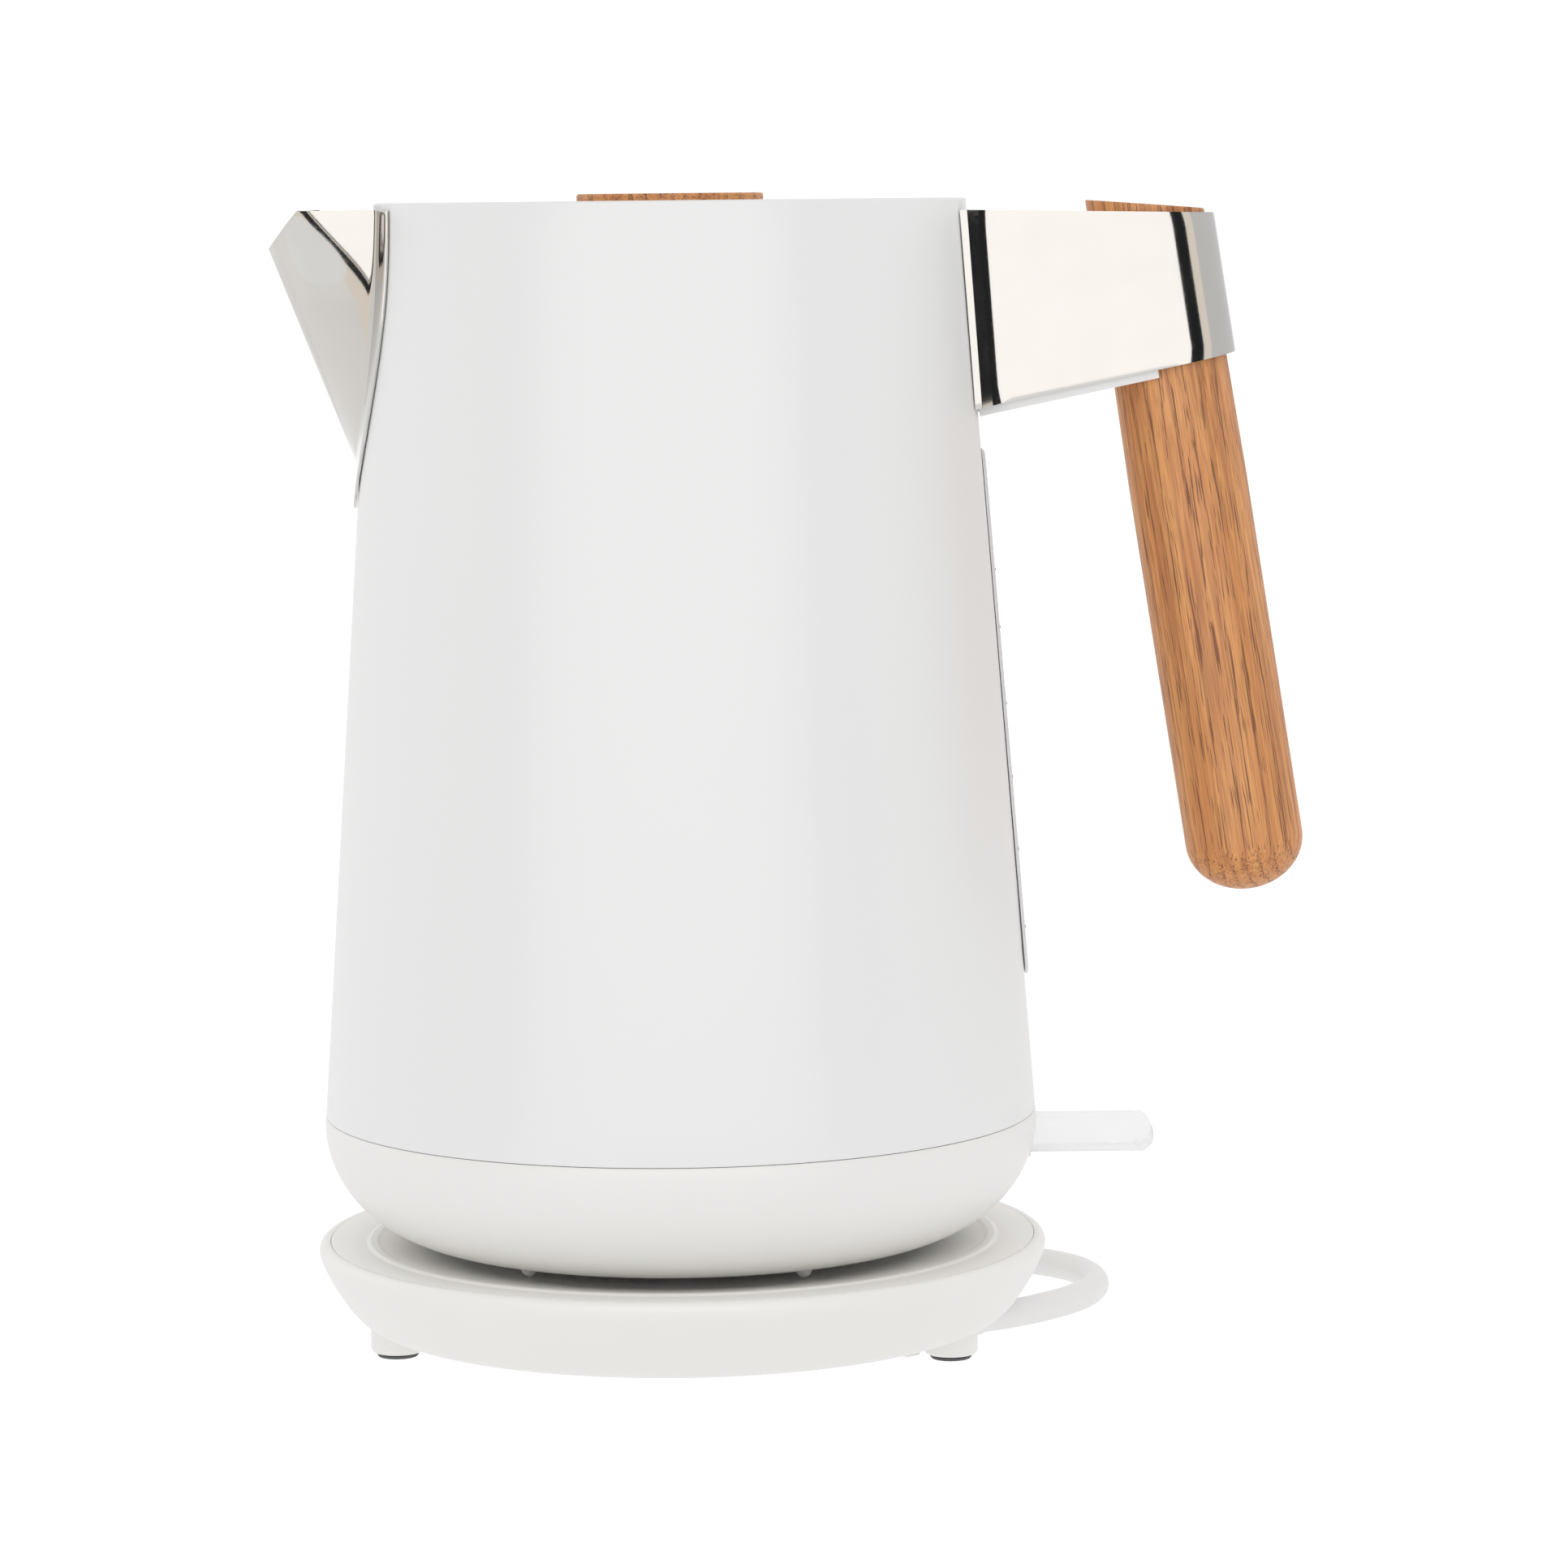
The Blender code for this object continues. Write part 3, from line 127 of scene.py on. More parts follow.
FEET = ((0.0628, 188), (0.0604, -16), (0.0620, 58), (0.0620, 122))
FOOT_R = 0.00585
PAD_THICK = 0.0006
BASE_SCREW_CIRCLE = 0.0520
BASE_SCREWS = (40, 160, 280)
CORD_R = 0.0032
CORD_Z = 0.0033
GLAND_MOUTH = (0.0646, 0.0055, 0.0039)
GLAND_HEADING = 45.0
GLAND_LENGTH = 0.030
COIL_X = 0.0120
COIL_Y = 0.1240
COIL_MID_R = 0.0350
COIL_LOW_Z = 0.0043
PLUG_GAP_Y = 0.0238
PLUG_ENTRY_Z = 0.0102
BOOT_LENGTH = 0.0200
PLUG_PINS = ("plug_pin_live", "plug_pin_neutral", "plug_pin_earth")

# ---- what is finer than the CAD ----
SPOUT_SHEET = 0.0006
HAIRLINE = 0.00012  # the gap that shows between two fitted pieces
ROUND = 160  # sides of a large round piece
SMALL_ROUND = 64
CONE_LEAN = (SEAM_R - RIM_R) / (RIM_Z - SEAM_Z)
BASE_WALL_Z = 0.0084  # the inside of the base's bottom

# ---- the studio ----
WORLD_STRENGTH = 0.84
FLOOR_GLOW = 0.95
STUDIO_HALF = 8.0
WALL_Y = 4.0
CARD_DISTANCE = 0.6
CARD_HEIGHT = 1.0
FADE_HEIGHT = 0.7
SOFTBOX_DISTANCE = 1.26
SOFTBOX_Z = 0.7
SOFTBOX_SIZE = 0.7
SOFTBOX_POWER = 0.35
LIT_Z = 0.12  # the height that the softboxes face
CAMERA_PLACE = (-0.0014, -1.190, 0.250)
CAMERA_PITCH = -6.07
CAMERA_ROLL = -0.60


# ---- mesh helpers ----
def linked(name, bm):
    """A new object in the scene, made of a bmesh that is then freed."""
    mesh = bpy.data.meshes.new(name)
    bm.to_mesh(mesh)
    bm.free()
    made = bpy.data.objects.new(name, mesh)
    bpy.context.scene.collection.objects.link(made)
    return made


def placed(name, bm):
    """The same, moved from the jug's axis to the row frame, with its faces turned outwards."""
    bmesh.ops.recalc_face_normals(bm, faces=bm.faces)
    bmesh.ops.translate(bm, verts=bm.verts, vec=(JUG_X, 0, 0))
    return linked(name, bm)


def piece(name, bm, surface, body, replaces=(), smooth=35):
    """Turn a bmesh, drawn about the jug's axis, into a piece that rides on a CAD body."""
    made = placed(name, bm)
    shade(made.data, smooth)
    made.data.materials.append(surface)
    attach(made, body)
    if replaces:
        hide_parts(*replaces)
    return made


def shade(mesh, smooth):
    mesh.shade_smooth()
    mesh.set_sharp_from_angle(angle=math.radians(smooth))


def cut(target, tools, smooth=35, operation="DIFFERENCE"):
    """Carve a piece with closed bodies, or join them to it, and keep the result."""
    guides = [placed("guide", bm) for bm in tools]
    for guide in guides:
        step = target.modifiers.new("cut", "BOOLEAN")
        step.operation = operation
        step.object = guide
        step.solver = "EXACT"
    keep_modifiers(target)
    for guide in guides:
        bpy.data.objects.remove(guide, do_unlink=True)
    shade(target.data, smooth)


def keep_modifiers(target):
    """Make the result of a piece's modifiers its own mesh."""
    bpy.context.view_layer.update()
    seen = target.evaluated_get(bpy.context.evaluated_depsgraph_get())
    mesh = bpy.data.meshes.new_from_object(seen)
    target.modifiers.clear()
    target.data = mesh


def edge_round(target, width, segments=2, angle=40):
    step = target.modifiers.new("edges", "BEVEL")
    step.width = width
    step.segments = segments
    step.limit_method = "ANGLE"
    step.angle_limit = math.radians(angle)


def soften(target, width, segments=2, angle=40, smooth=40):
    """Round a piece's sharp edges, and keep the result."""
    edge_round(target, width, segments, angle)
    keep_modifiers(target)
    shade(target.data, smooth)


def oval(x, z, wide, tall, start, end, steps):
    turn = [math.radians(start + (end - start) * k / steps) for k in range(steps + 1)]
    return [(x + wide * math.cos(a), z + tall * math.sin(a)) for a in turn]


def arc(x, z, radius, start, end, steps):
    return oval(x, z, radius, radius, start, end, steps)


def filleted(corners, closed=True, steps=4):
    """Round the corners of an outline. Each corner is (x, z, radius)."""
    places = [Vector(corner[:2]) for corner in corners]
    count = len(places)
    outline = []
    for k, here in enumerate(places):
        radius = corners[k][2]
        end = not closed and k in (0, count - 1)
        if radius == 0 or end:
            outline.append(tuple(here))
            continue
        before = places[k - 1] - here
        after = places[(k + 1) % count] - here
        room = 0.49 * min(before.length, after.length)
        half = before.angle(after) / 2
        reach = min(radius / math.tan(half), room)
        radius = reach * math.tan(half)
        bisector = (before.normalized() + after.normalized()).normalized()
        centre = here + bisector * (radius / math.sin(half))
        first = here + before.normalized() * reach - centre
        last = here + after.normalized() * reach - centre
        start = math.atan2(first.y, first.x)
        sweep = math.atan2(last.y, last.x) - start
        sweep = (sweep + math.pi) % math.tau - math.pi
        for step in range(steps + 1):
            angle = start + sweep * step / steps
            outline.append(
                (centre.x + radius * math.cos(angle), centre.y + radius * math.sin(angle))
            )
    return outline


def turned(outline, steps=ROUND, x=0.0, y=0.0):
    """Spin an outline of (radius, height) about a vertical axis."""
    bm = bmesh.new()
    points = [bm.verts.new((x + r, y, z)) for r, z in outline]
    edges = [bm.edges.new(pair) for pair in zip(points, points[1:])]
    if outline[0][0] > 0 or outline[-1][0] > 0:
        edges.append(bm.edges.new((points[-1], points[0])))
    bmesh.ops.spin(
        bm,
        geom=points + edges,
        cent=(x, y, 0),
        axis=(0, 0, 1),
        angle=math.tau,
        steps=steps,
        use_merge=True,
    )
    bmesh.ops.remove_doubles(bm, verts=bm.verts, dist=1e-6)
    return bm


def aim(bm, start, direction):
    """Move what is drawn up the +Z axis so that it starts at a point and runs along a direction."""
    turn = Vector((0, 0, 1)).rotation_difference(Vector(direction)).to_matrix().to_4x4()
    bmesh.ops.transform(bm, verts=bm.verts, matrix=Matrix.Translation(start) @ turn)
    return bm


def rod(start, end, radius, steps=24):
    length = (Vector(end) - Vector(start)).length
    outline = [(0, 0), (radius, 0), (radius, length), (0, length)]
    return aim(turned(outline, steps), start, Vector(end) - Vector(start))


def box(low, high):
    bm = bmesh.new()
    bmesh.ops.create_cube(bm, size=1.0)
    low, high = Vector(low), Vector(high)
    size = high - low
    scale = Matrix.Diagonal((size.x, size.y, size.z, 1.0))
    bmesh.ops.transform(bm, verts=bm.verts, matrix=Matrix.Translation((low + high) / 2) @ scale)
    return bm


def loft(rings, looped=False):
    """Skin a list of closed rings of points, with flat ends unless it is looped."""
    bm = bmesh.new()
    rows = [[bm.verts.new(p) for p in ring] for ring in rings]
    count = len(rows[0])
    pairs = list(zip(rows, rows[1:]))
    if looped:
        pairs.append((rows[-1], rows[0]))
    for low, high in pairs:
        for k in range(count):
            after = (k + 1) % count
            bm.faces.new((low[k], low[after], high[after], high[k]))
    if not looped:
        bm.faces.new(list(reversed(rows[0])))
        bm.faces.new(rows[-1])
    return bm


def sheet_of(columns):
    """An open skin from columns of points."""
    bm = bmesh.new()
    grid = [[bm.verts.new(p) for p in column] for column in columns]
    for one, two in zip(grid, grid[1:]):
        for k in range(len(one) - 1):
            bm.faces.new((one[k], two[k], two[k + 1], one[k + 1]))
    return bm


def thicken(target, thickness, outward):
    """Make a sheet solid, on the side away from outward."""
    facing = sum((face.normal * face.area for face in target.data.polygons), Vector())
    step = target.modifiers.new("thickness", "SOLIDIFY")
    step.thickness = thickness
    step.offset = -1.0 if facing.dot(Vector(outward)) > 0 else 1.0
    step.use_even_offset = True


def join(*parts):
    whole = parts[0]
    for part in parts[1:]:
        mesh = bpy.data.meshes.new("joined")
        part.to_mesh(mesh)
        part.free()
        whole.from_mesh(mesh)
        bpy.data.meshes.remove(mesh)
    return whole


def rounded_rectangle(wide, tall, radius, steps=8):
    points = []
    for side, (u, v) in enumerate(((1, 1), (-1, 1), (-1, -1), (1, -1))):
        centre = (u * (wide / 2 - radius), v * (tall / 2 - radius))
        points += arc(*centre, radius, 90 * side, 90 * side + 90, steps)
    return points


def on_circle(radius, degrees):
    angle = math.radians(degrees)
    return radius * math.cos(angle), radius * math.sin(angle)


def smooth_points(points, each):
    """Catmull-Rom points through a list of points of any size."""
    places = [Vector(p) for p in points]
    places = [places[0] * 2 - places[1], *places, places[-1] * 2 - places[-2]]
    curve = []
    for a, b, c, d in zip(places, places[1:], places[2:], places[3:]):
        for k in range(each):
            t = k / each
            square = (2 * a - 5 * b + 4 * c - d) * t**2
            cube = (3 * b - a - 3 * c + d) * t**3
            curve.append(0.5 * (2 * b + (c - a) * t + square + cube))
    curve.append(places[-2])
    return curve


# ---- material helpers ----
class Surface:
    """A material with short ways to add nodes. Distances are in metres, in the row frame."""

    def __init__(self, name):
        self.material = bpy.data.materials.new(name)
        self.material.use_nodes = True
        self.tree = self.material.node_tree
        self.shader = self.tree.nodes["Principled BSDF"]
        self.place = self.add("TexCoord").outputs["Object"]

    def add(self, kind, values=None, **settings):
        made = self.tree.nodes.new("ShaderNode" + kind)
        for key, value in settings.items():
            setattr(made, key, value)
        for key, value in (values or {}).items():
            self.feed(made.inputs[key], value)
        return made

    def feed(self, socket, value):
        if isinstance(value, bpy.types.NodeSocket):
            self.tree.links.new(value, socket)
        else:
            socket.default_value = value

    def put(self, **values):
        """Set the shader's sockets, by their names in lower case with underscores."""
        for socket in self.shader.inputs:
            key = socket.name.lower().replace(" ", "_")
            if key in values:
                self.feed(socket, values[key])
        return self.material

    def stretched(self, sizes, turn=(0, 0, 0), origin=(0, 0, 0)):
        """The place, turned, and counted in steps of a size along each axis."""
        moved = self.add("VectorMath", {0: self.place, 1: origin}, operation="SUBTRACT")
        angles = {"Vector": moved.outputs[0], "Rotation": turn}
        turned_place = self.add("VectorRotate", angles, rotation_type="EULER_XYZ")
        steps = {0: turned_place.outputs[0], 1: tuple(1 / size for size in sizes)}
        return self.add("VectorMath", steps, operation="MULTIPLY").outputs[0]

    def noise(self, sizes, detail=2.0, roughness=0.5, turn=(0, 0, 0), origin=(0, 0, 0), warp=0.0):
        if isinstance(sizes, float):
            sizes = (sizes,) * 3
        inputs = {
            "Vector": self.stretched(sizes, turn, origin),
            "Scale": 1.0,
            "Detail": detail,
            "Roughness": roughness,
            "Distortion": warp,
        }
        return self.add("TexNoise", inputs).outputs["Fac"]

    def remap(self, value, low, high, to_low, to_high):
        """An eased step from one range to another."""
        span = {"Value": value, "From Min": low, "From Max": high}
        span.update({"To Min": to_low, "To Max": to_high})
        return self.add("MapRange", span, interpolation_type="SMOOTHSTEP").outputs["Result"]

    def mix(self, factor, one, two):
        made = self.add("Mix", data_type="RGBA")
        self.feed(made.inputs[0], factor)
        for socket, colour in ((made.inputs[6], one), (made.inputs[7], two)):
            self.feed(socket, colour if not isinstance(colour, tuple) else (*colour, 1.0))
        return made.outputs[2]

    def maths(self, operation, one, two=0.0):
        made = self.add("Math", operation=operation)
        self.feed(made.inputs[0], one)
        self.feed(made.inputs[1], two)
        return made.outputs[0]

    def bump(self, height, depth, under=None):
        made = self.add("Bump", {"Height": height, "Strength": 1.0, "Distance": depth})
        if under:
            self.tree.links.new(under, made.inputs["Normal"])
        return made.outputs["Normal"]


def moulded(name, colour, roughness, grain=0.00035, depth=0.000006, tint=0.02):
    """Moulded plastic with a fine sparked grain and a slight drift of colour."""
    s = Surface(name)
    drift = s.noise(0.03, 3.0)
    darker = tuple(c * (1 - tint) for c in colour)
    fine = s.noise(grain, 2.0, 0.6)
    return s.put(
        base_color=s.mix(drift, colour, darker),
        roughness=s.remap(fine, 0.3, 0.7, roughness - 0.04, roughness + 0.05),
        normal=s.bump(fine, depth),
    )


def steel(name, colour, roughness, grain, depth, turn=(0, 0, 0), smear=0.05):
    """Bare metal. The grain gives the size of its fine scratches along each axis."""
    s = Surface(name)
    lines = s.noise(grain, 3.0, 0.6, turn)
    cloud = s.noise(0.012, 3.0)
    darker = tuple(c * 0.93 for c in colour)
    rough = s.maths("ADD", s.remap(lines, 0.3, 0.7, 0.0, smear), roughness)
    return s.put(
        base_color=s.mix(cloud, colour, darker),
        metallic=1.0,
        roughness=s.maths("ADD", rough, s.remap(cloud, 0.35, 0.75, 0.0, smear / 2)),
        normal=s.bump(lines, depth),
    )


def painted_white():
    """Satin powder coat: a faint orange peel over a fine grain."""
    s = Surface("satin_white_coat")
    peel = s.noise(0.0011, 2.0, 0.45)
    fine = s.noise(0.00025, 1.0)
    drift = s.noise(0.05, 2.0)
    return s.put(
        base_color=s.mix(drift, (0.860, 0.866, 0.862), (0.872, 0.877, 0.872)),
        roughness=s.remap(fine, 0.3, 0.7, 0.36, 0.42),
        normal=s.bump(fine, 0.0000025, s.bump(peel, 0.000006)),
    )


def oak(name, turn, origin, ring_centre=(0.050, -0.020)):
    """Oiled oak. The grain runs along the turned place's Z axis."""
    s = Surface(name)
    wander = s.noise((0.006, 0.006, 0.060), 2.0, 0.5, turn, origin)
    across = s.add("SeparateXYZ", {"Vector": s.stretched((1.0, 1.0, 1.0), turn, origin)})
    u = s.maths("SUBTRACT", across.outputs["X"], ring_centre[0])
    v = s.maths("SUBTRACT", across.outputs["Y"], ring_centre[1])
    squares = s.maths("ADD", s.maths("MULTIPLY", u, u), s.maths("MULTIPLY", v, v))
    distance = s.maths("ADD", s.maths("SQRT", squares), s.maths("MULTIPLY", wander, 0.0022))
    ring_width = 0.0029
    year = s.maths("FRACT", s.maths("DIVIDE", distance, ring_width))
    early = s.remap(year, 0.0, 0.55, 1.0, 0.0)
    early = s.maths("MULTIPLY", early, s.remap(year, 0.0, 0.06, 0.0, 1.0))
    fibres = s.noise((0.00022, 0.00022, 0.014), 2.0, 0.6, turn, origin)
    cloud = s.noise((0.004, 0.004, 0.030), 3.0, 0.55, turn, origin)
    pores = s.noise((0.00030, 0.00030, 0.0110), 1.5, 0.5, turn, origin, 0.10)
    bands = s.noise((0.0013, 0.0013, 0.050), 2.0, 0.5, turn, origin, 0.4)
    threshold = s.maths("SUBTRACT", 0.630, s.maths("MULTIPLY", early, 0.12))
    open_pore = s.maths("MULTIPLY", s.maths("SUBTRACT", pores, threshold), 16.0)
    open_pore = s.remap(open_pore, 0.0, 1.0, 0.0, 1.0)
    pale, mid, deep = (0.83, 0.375, 0.115), (0.68, 0.265, 0.072), (0.19, 0.060, 0.022)
    ring_tone, band_tone, fibre_tone = (0.50, 0.195, 0.062), (0.41, 0.148, 0.046), (0.46, 0.175, 0.058)
    colour = s.mix(s.remap(cloud, 0.3, 0.7, 0.0, 1.0), pale, mid)
    colour = s.mix(s.maths("MULTIPLY", early, 0.50), colour, ring_tone)
    colour = s.mix(s.remap(bands, 0.50, 0.66, 0.0, 0.65), colour, band_tone)
    colour = s.mix(s.remap(fibres, 0.44, 0.64, 0.0, 0.70), colour, fibre_tone)
    colour = s.mix(s.maths("MULTIPLY", open_pore, 0.85), colour, deep)
    height = s.maths("SUBTRACT", s.maths("MULTIPLY", fibres, 0.25), open_pore)
    return s.put(
        base_color=colour,
        roughness=s.remap(open_pore, 0.0, 1.0, 0.46, 0.7),
        normal=s.bump(height, 0.00008),
        coat_weight=0.05,
        coat_roughness=0.3,
    )


def clear_plastic(name, colour, roughness, transmission, index):
    """See-through plastic with a little haze."""
    s = Surface(name)
    haze = s.noise(0.004, 2.0)
    return s.put(
        base_color=s.mix(haze, colour, tuple(c * 0.98 for c in colour)),
        roughness=s.remap(haze, 0.3, 0.7, roughness, roughness + 0.04),
        transmission_weight=transmission,
        ior=index,
        normal=s.bump(s.noise(0.0012, 2.0), 0.000002),
    )


def make_surfaces():
    long_grain, round_grain = (0.006, 0.0003, 0.0003), (0.0004, 0.0004, 0.0004)
    turned_grain, fine_grain = (0.0002, 0.003, 0.0002), (0.0002, 0.002, 0.0002)
    bar_place = (GRIP_TOP_X + JUG_X, 0, GRIP_TOP_Z)
    knob_turn = (math.pi / 2, 0, 0)
    knob_place = (JUG_X, 0, KNOB_TOP_Z)
    return {
        "paint": painted_white(),
        "white": moulded("warm_white_plastic", (0.915, 0.900, 0.875), 0.44),
        "bowl": moulded("bowl_plastic", (0.905, 0.893, 0.872), 0.44),
        "liner": moulded("liner_plastic", (0.88, 0.88, 0.87), 0.40),
        "cord": moulded("cord_sheath", (0.88, 0.87, 0.855), 0.42, 0.0009, 0.00001),
        "polished": steel("polished_steel", (0.62, 0.605, 0.585), 0.06, long_grain, 4e-7),
        "brushed": steel("brushed_steel", (0.66, 0.655, 0.645), 0.26, turned_grain, 2e-6),
        "zinc": steel("zinc_plated_steel", (0.62, 0.62, 0.64), 0.30, round_grain, 3e-6),
        "brass": steel("bright_brass", (0.80, 0.60, 0.28), 0.20, fine_grain, 1e-6),
        "bar_oak": oak("grip_oak", (0.0, math.atan(GRIP_SLOPE), 0.0), bar_place),
        "knob_oak": oak("knob_oak", knob_turn, knob_place, (0.090, 0.004)),
        "clear": clear_plastic("clear_acrylic", (0.89, 0.892, 0.897), 0.35, 0.85, 1.06),
        "window": clear_plastic("frosted_window", (0.93, 0.94, 0.955), 0.34, 0.20, 1.40),
        "lamp": clear_plastic("lamp_lens", (0.55, 0.70, 0.90), 0.12, 0.7, 1.45),
        "rubber": moulded("dark_rubber", (0.10, 0.10, 0.10), 0.75, 0.0005, 0.00002),
        "silicone": moulded("silicone_rubber", (0.62, 0.62, 0.60), 0.55, 0.0008, 0.00001),
        "black": moulded("black_plastic", (0.022, 0.022, 0.023), 0.42),
        "ink": moulded("grey_ink", (0.13, 0.13, 0.135), 0.5),
    }


# ---- the shape of the jug ----
def cone_radius(z):
    return SEAM_R + (RIM_R - SEAM_R) * (z - SEAM_Z) / (RIM_Z - SEAM_Z)


def flat_x(z):
    return SEAM_R - FLAT_INSET - FLAT_SLOPE * (z - SEAM_Z)


def jug_ring(z, inset):
    """A level ring of the jug's wall, with the flat strip's chord on the handle side."""
    flat_columns = 12
    radius = cone_radius(z) - inset
    level = min(z, FLAT_TOP_Z)
    half = math.acos(min((flat_x(level) - inset) / (cone_radius(level) - inset), 1.0))
    ring = []
    for k in range(flat_columns):
        y = math.sin(half) * (2 * k / flat_columns - 1)
        angle = math.atan2(y, math.cos(half))
        if z <= FLAT_TOP_Z:
            ring.append((flat_x(z) - inset, radius * y, z))
        else:
            ring.append((radius * math.cos(angle), radius * math.sin(angle), z))
    for k in range(ROUND):
        angle = half + (math.tau - 2 * half) * k / ROUND
        ring.append((radius * math.cos(angle), radius * math.sin(angle), z))
    return ring


def make_jug(surfaces):
    rows = 26
    foot = SEAM_Z - GAP + HAIRLINE
    levels = [(foot, 0.0003), (foot + 0.00005, 0.0001), (SEAM_Z + 0.0005, 0.0)]
    span = FLAT_TOP_Z - SEAM_Z - 0.0006
    levels += [(SEAM_Z + 0.0006 + span * (k + 1) / rows, 0.0) for k in range(rows)]
    lip = WALL / 2
    levels += [(z, lip - x) for x, z in arc(0, RIM_Z - lip, lip, 0, 180, 10)]
    top = [(FLAT_TOP_Z + 0.0004, 0.0)]
    levels = levels[: rows + 3] + top + levels[rows + 3 :]
    levels += [(FLAT_TOP_Z + 0.0004, WALL), (FLAT_TOP_Z, WALL), (foot, WALL)]
    wall = loft([jug_ring(z, inset) for z, inset in levels], looped=True)
    jug = piece("jug_wall", wall, surfaces["paint"], "jug", ["jug_body"], 40)
    cut(jug, [spout_opening(), window_opening(), *screw_rods(0.0023)], 40)


def spout_opening():
    half = BEAK_HALF - 0.004
    side = [(half, 0.2400), (half, 0.2250), (half * 0.86, 0.2130), (half * 0.45, 0.2040)]
    side = [tuple(p) for p in smooth_points(side, 5)]
    outline = side + [(-y, z) for y, z in reversed(side)]
    return loft([[(x, y, z) for y, z in outline] for x in (-0.050, -0.075)])


def window_opening():
    tall = WINDOW_TOP_Z - WINDOW_LOW_Z - 0.008
    outline = rounded_rectangle(WINDOW_PLUG_WIDE + 0.0008, tall, 0.0045)
    return loft([[(x, y, WINDOW_MID_Z + z) for y, z in outline] for x in (0.055, 0.085)])


def screw_rods(radius):
    rods = []
    for z in BRACKET_SCREW_HEIGHTS:
        x = flat_x(z) - WALL
        rods.append(rod((x - 0.004, 0, z), (x + 0.016, 0, z), radius))
    return rods


def make_bowl(surfaces):
    top = SEAM_Z - GAP
    middle = BOWL_FLOOR_Z + BOWL_TALL
    outline = [(BOWL_RIM_R, top), (SEAM_R - 0.0001, top), (SEAM_R, top - 0.0001)]
    outline += oval(BOWL_FLOOR_R, middle, BOWL_WIDE, BOWL_TALL, 0, -90, 36)
    outline += [
        (SOCKET_HOLE_R + 0.0006, BOWL_FLOOR_Z),
        (SOCKET_HOLE_R + 0.0002, BOWL_FLOOR_Z + 0.0002),
        (SOCKET_HOLE_R, BOWL_FLOOR_Z + 0.0006),
        (SOCKET_HOLE_R, BOWL_FLOOR_Z + BOWL_WALL),
    ]
    inner = (BOWL_WIDE - BOWL_WALL, BOWL_TALL - BOWL_WALL)
    outline += oval(BOWL_FLOOR_R, middle, *inner, -90, -12, 16)
    outline += [(BOWL_STEP_R, 0.0500), (BOWL_STEP_R, 0.0550), (BOWL_RIM_R, 0.0550)]
    shell = turned(outline)
    bowl = piece("bowl", shell, surfaces["bowl"], "jug", ["lower_shell"], 40)
    inside = BOWL_FLOOR_Z + 0.0012
    pegs = []
    for k in range(5):
        x, y = on_circle(BUMP_CIRCLE_R, 230 + 72 * k)
        round_end = arc(0, BUMP_LOW_Z + BUMP_R, BUMP_R, -90, 0, 8)
        pegs.append(turned([*round_end, (BUMP_R, inside), (0, inside)], 32, x, y))
    ears = [box((0.0700, y, 0.0425), (0.0760, y + EAR_THICK, 0.0510)) for y in EAR_SIDES]
    cut(bowl, [*pegs, *ears], 40, "UNION")
    middle = (SLOT_LOW_Z + SLOT_HIGH_Z) / 2
    outline = rounded_rectangle(2 * SLOT_HALF, SLOT_HIGH_Z - SLOT_LOW_Z, 0.0010)
    slot = loft([[(x, y, middle + z) for y, z in outline] for x in (0.0660, 0.0840)])
    pin = rod((PIN_X, -PIN_HOLE_HALF, PIN_Z), (PIN_X, PIN_HOLE_HALF, PIN_Z), PIN_HOLE_R)
    places = [on_circle(SHELL_SCREW_CIRCLE, angle) for angle in SHELL_SCREWS]
    holes = [rod((x, y, 0.020), (x, y, 0.030), SCREW_HOLE_R) for x, y in places]
    cut(bowl, [slot, pin, *holes], 40)


# ---- spout ----
def flange_half(z):
    if z > FLANGE_WIDEST_Z:
        part = (z - FLANGE_WIDEST_Z) / (RIM_Z - FLANGE_WIDEST_Z)
        return FLANGE_HALF - 0.002 * part**2
    part = (FLANGE_WIDEST_Z - z) / (FLANGE_WIDEST_Z - FLANGE_LOW_Z)
    return FLANGE_HALF * (1 - min(part, 1.0) ** 1.75) ** (1 / 1.75)


def beak_half(z):
    if z > FLANGE_WIDEST_Z:
        return BEAK_HALF - 0.0015 * ((z - FLANGE_WIDEST_Z) / (RIM_Z - FLANGE_WIDEST_Z)) ** 2
    part = (FLANGE_WIDEST_Z - z) / (FLANGE_WIDEST_Z - BEAK_FOOT[1] + 0.0005)
    narrow = BEAK_HALF * math.sqrt(max(1 - part**2, 0.0))
    return max(narrow, min(0.0015, flange_half(z) * 0.4))


def beak_front(z):
    slope = (BEAK_TIP[0] - BEAK_FOOT[0]) / (BEAK_TIP[1] - BEAK_FOOT[1])
    return BEAK_FOOT[0] + slope * (z - BEAK_FOOT[1])


def flange_x(y, z):
    radius = cone_radius(z) + GAP + SPOUT_SHEET
    return -math.sqrt(radius**2 - y**2)


def bend(start, corner, end, steps):
    """A soft corner between two points."""
    parts = [k / steps for k in range(steps + 1)]
    return [start * (1 - t) ** 2 + corner * 2 * t * (1 - t) + end * t**2 for t in parts]


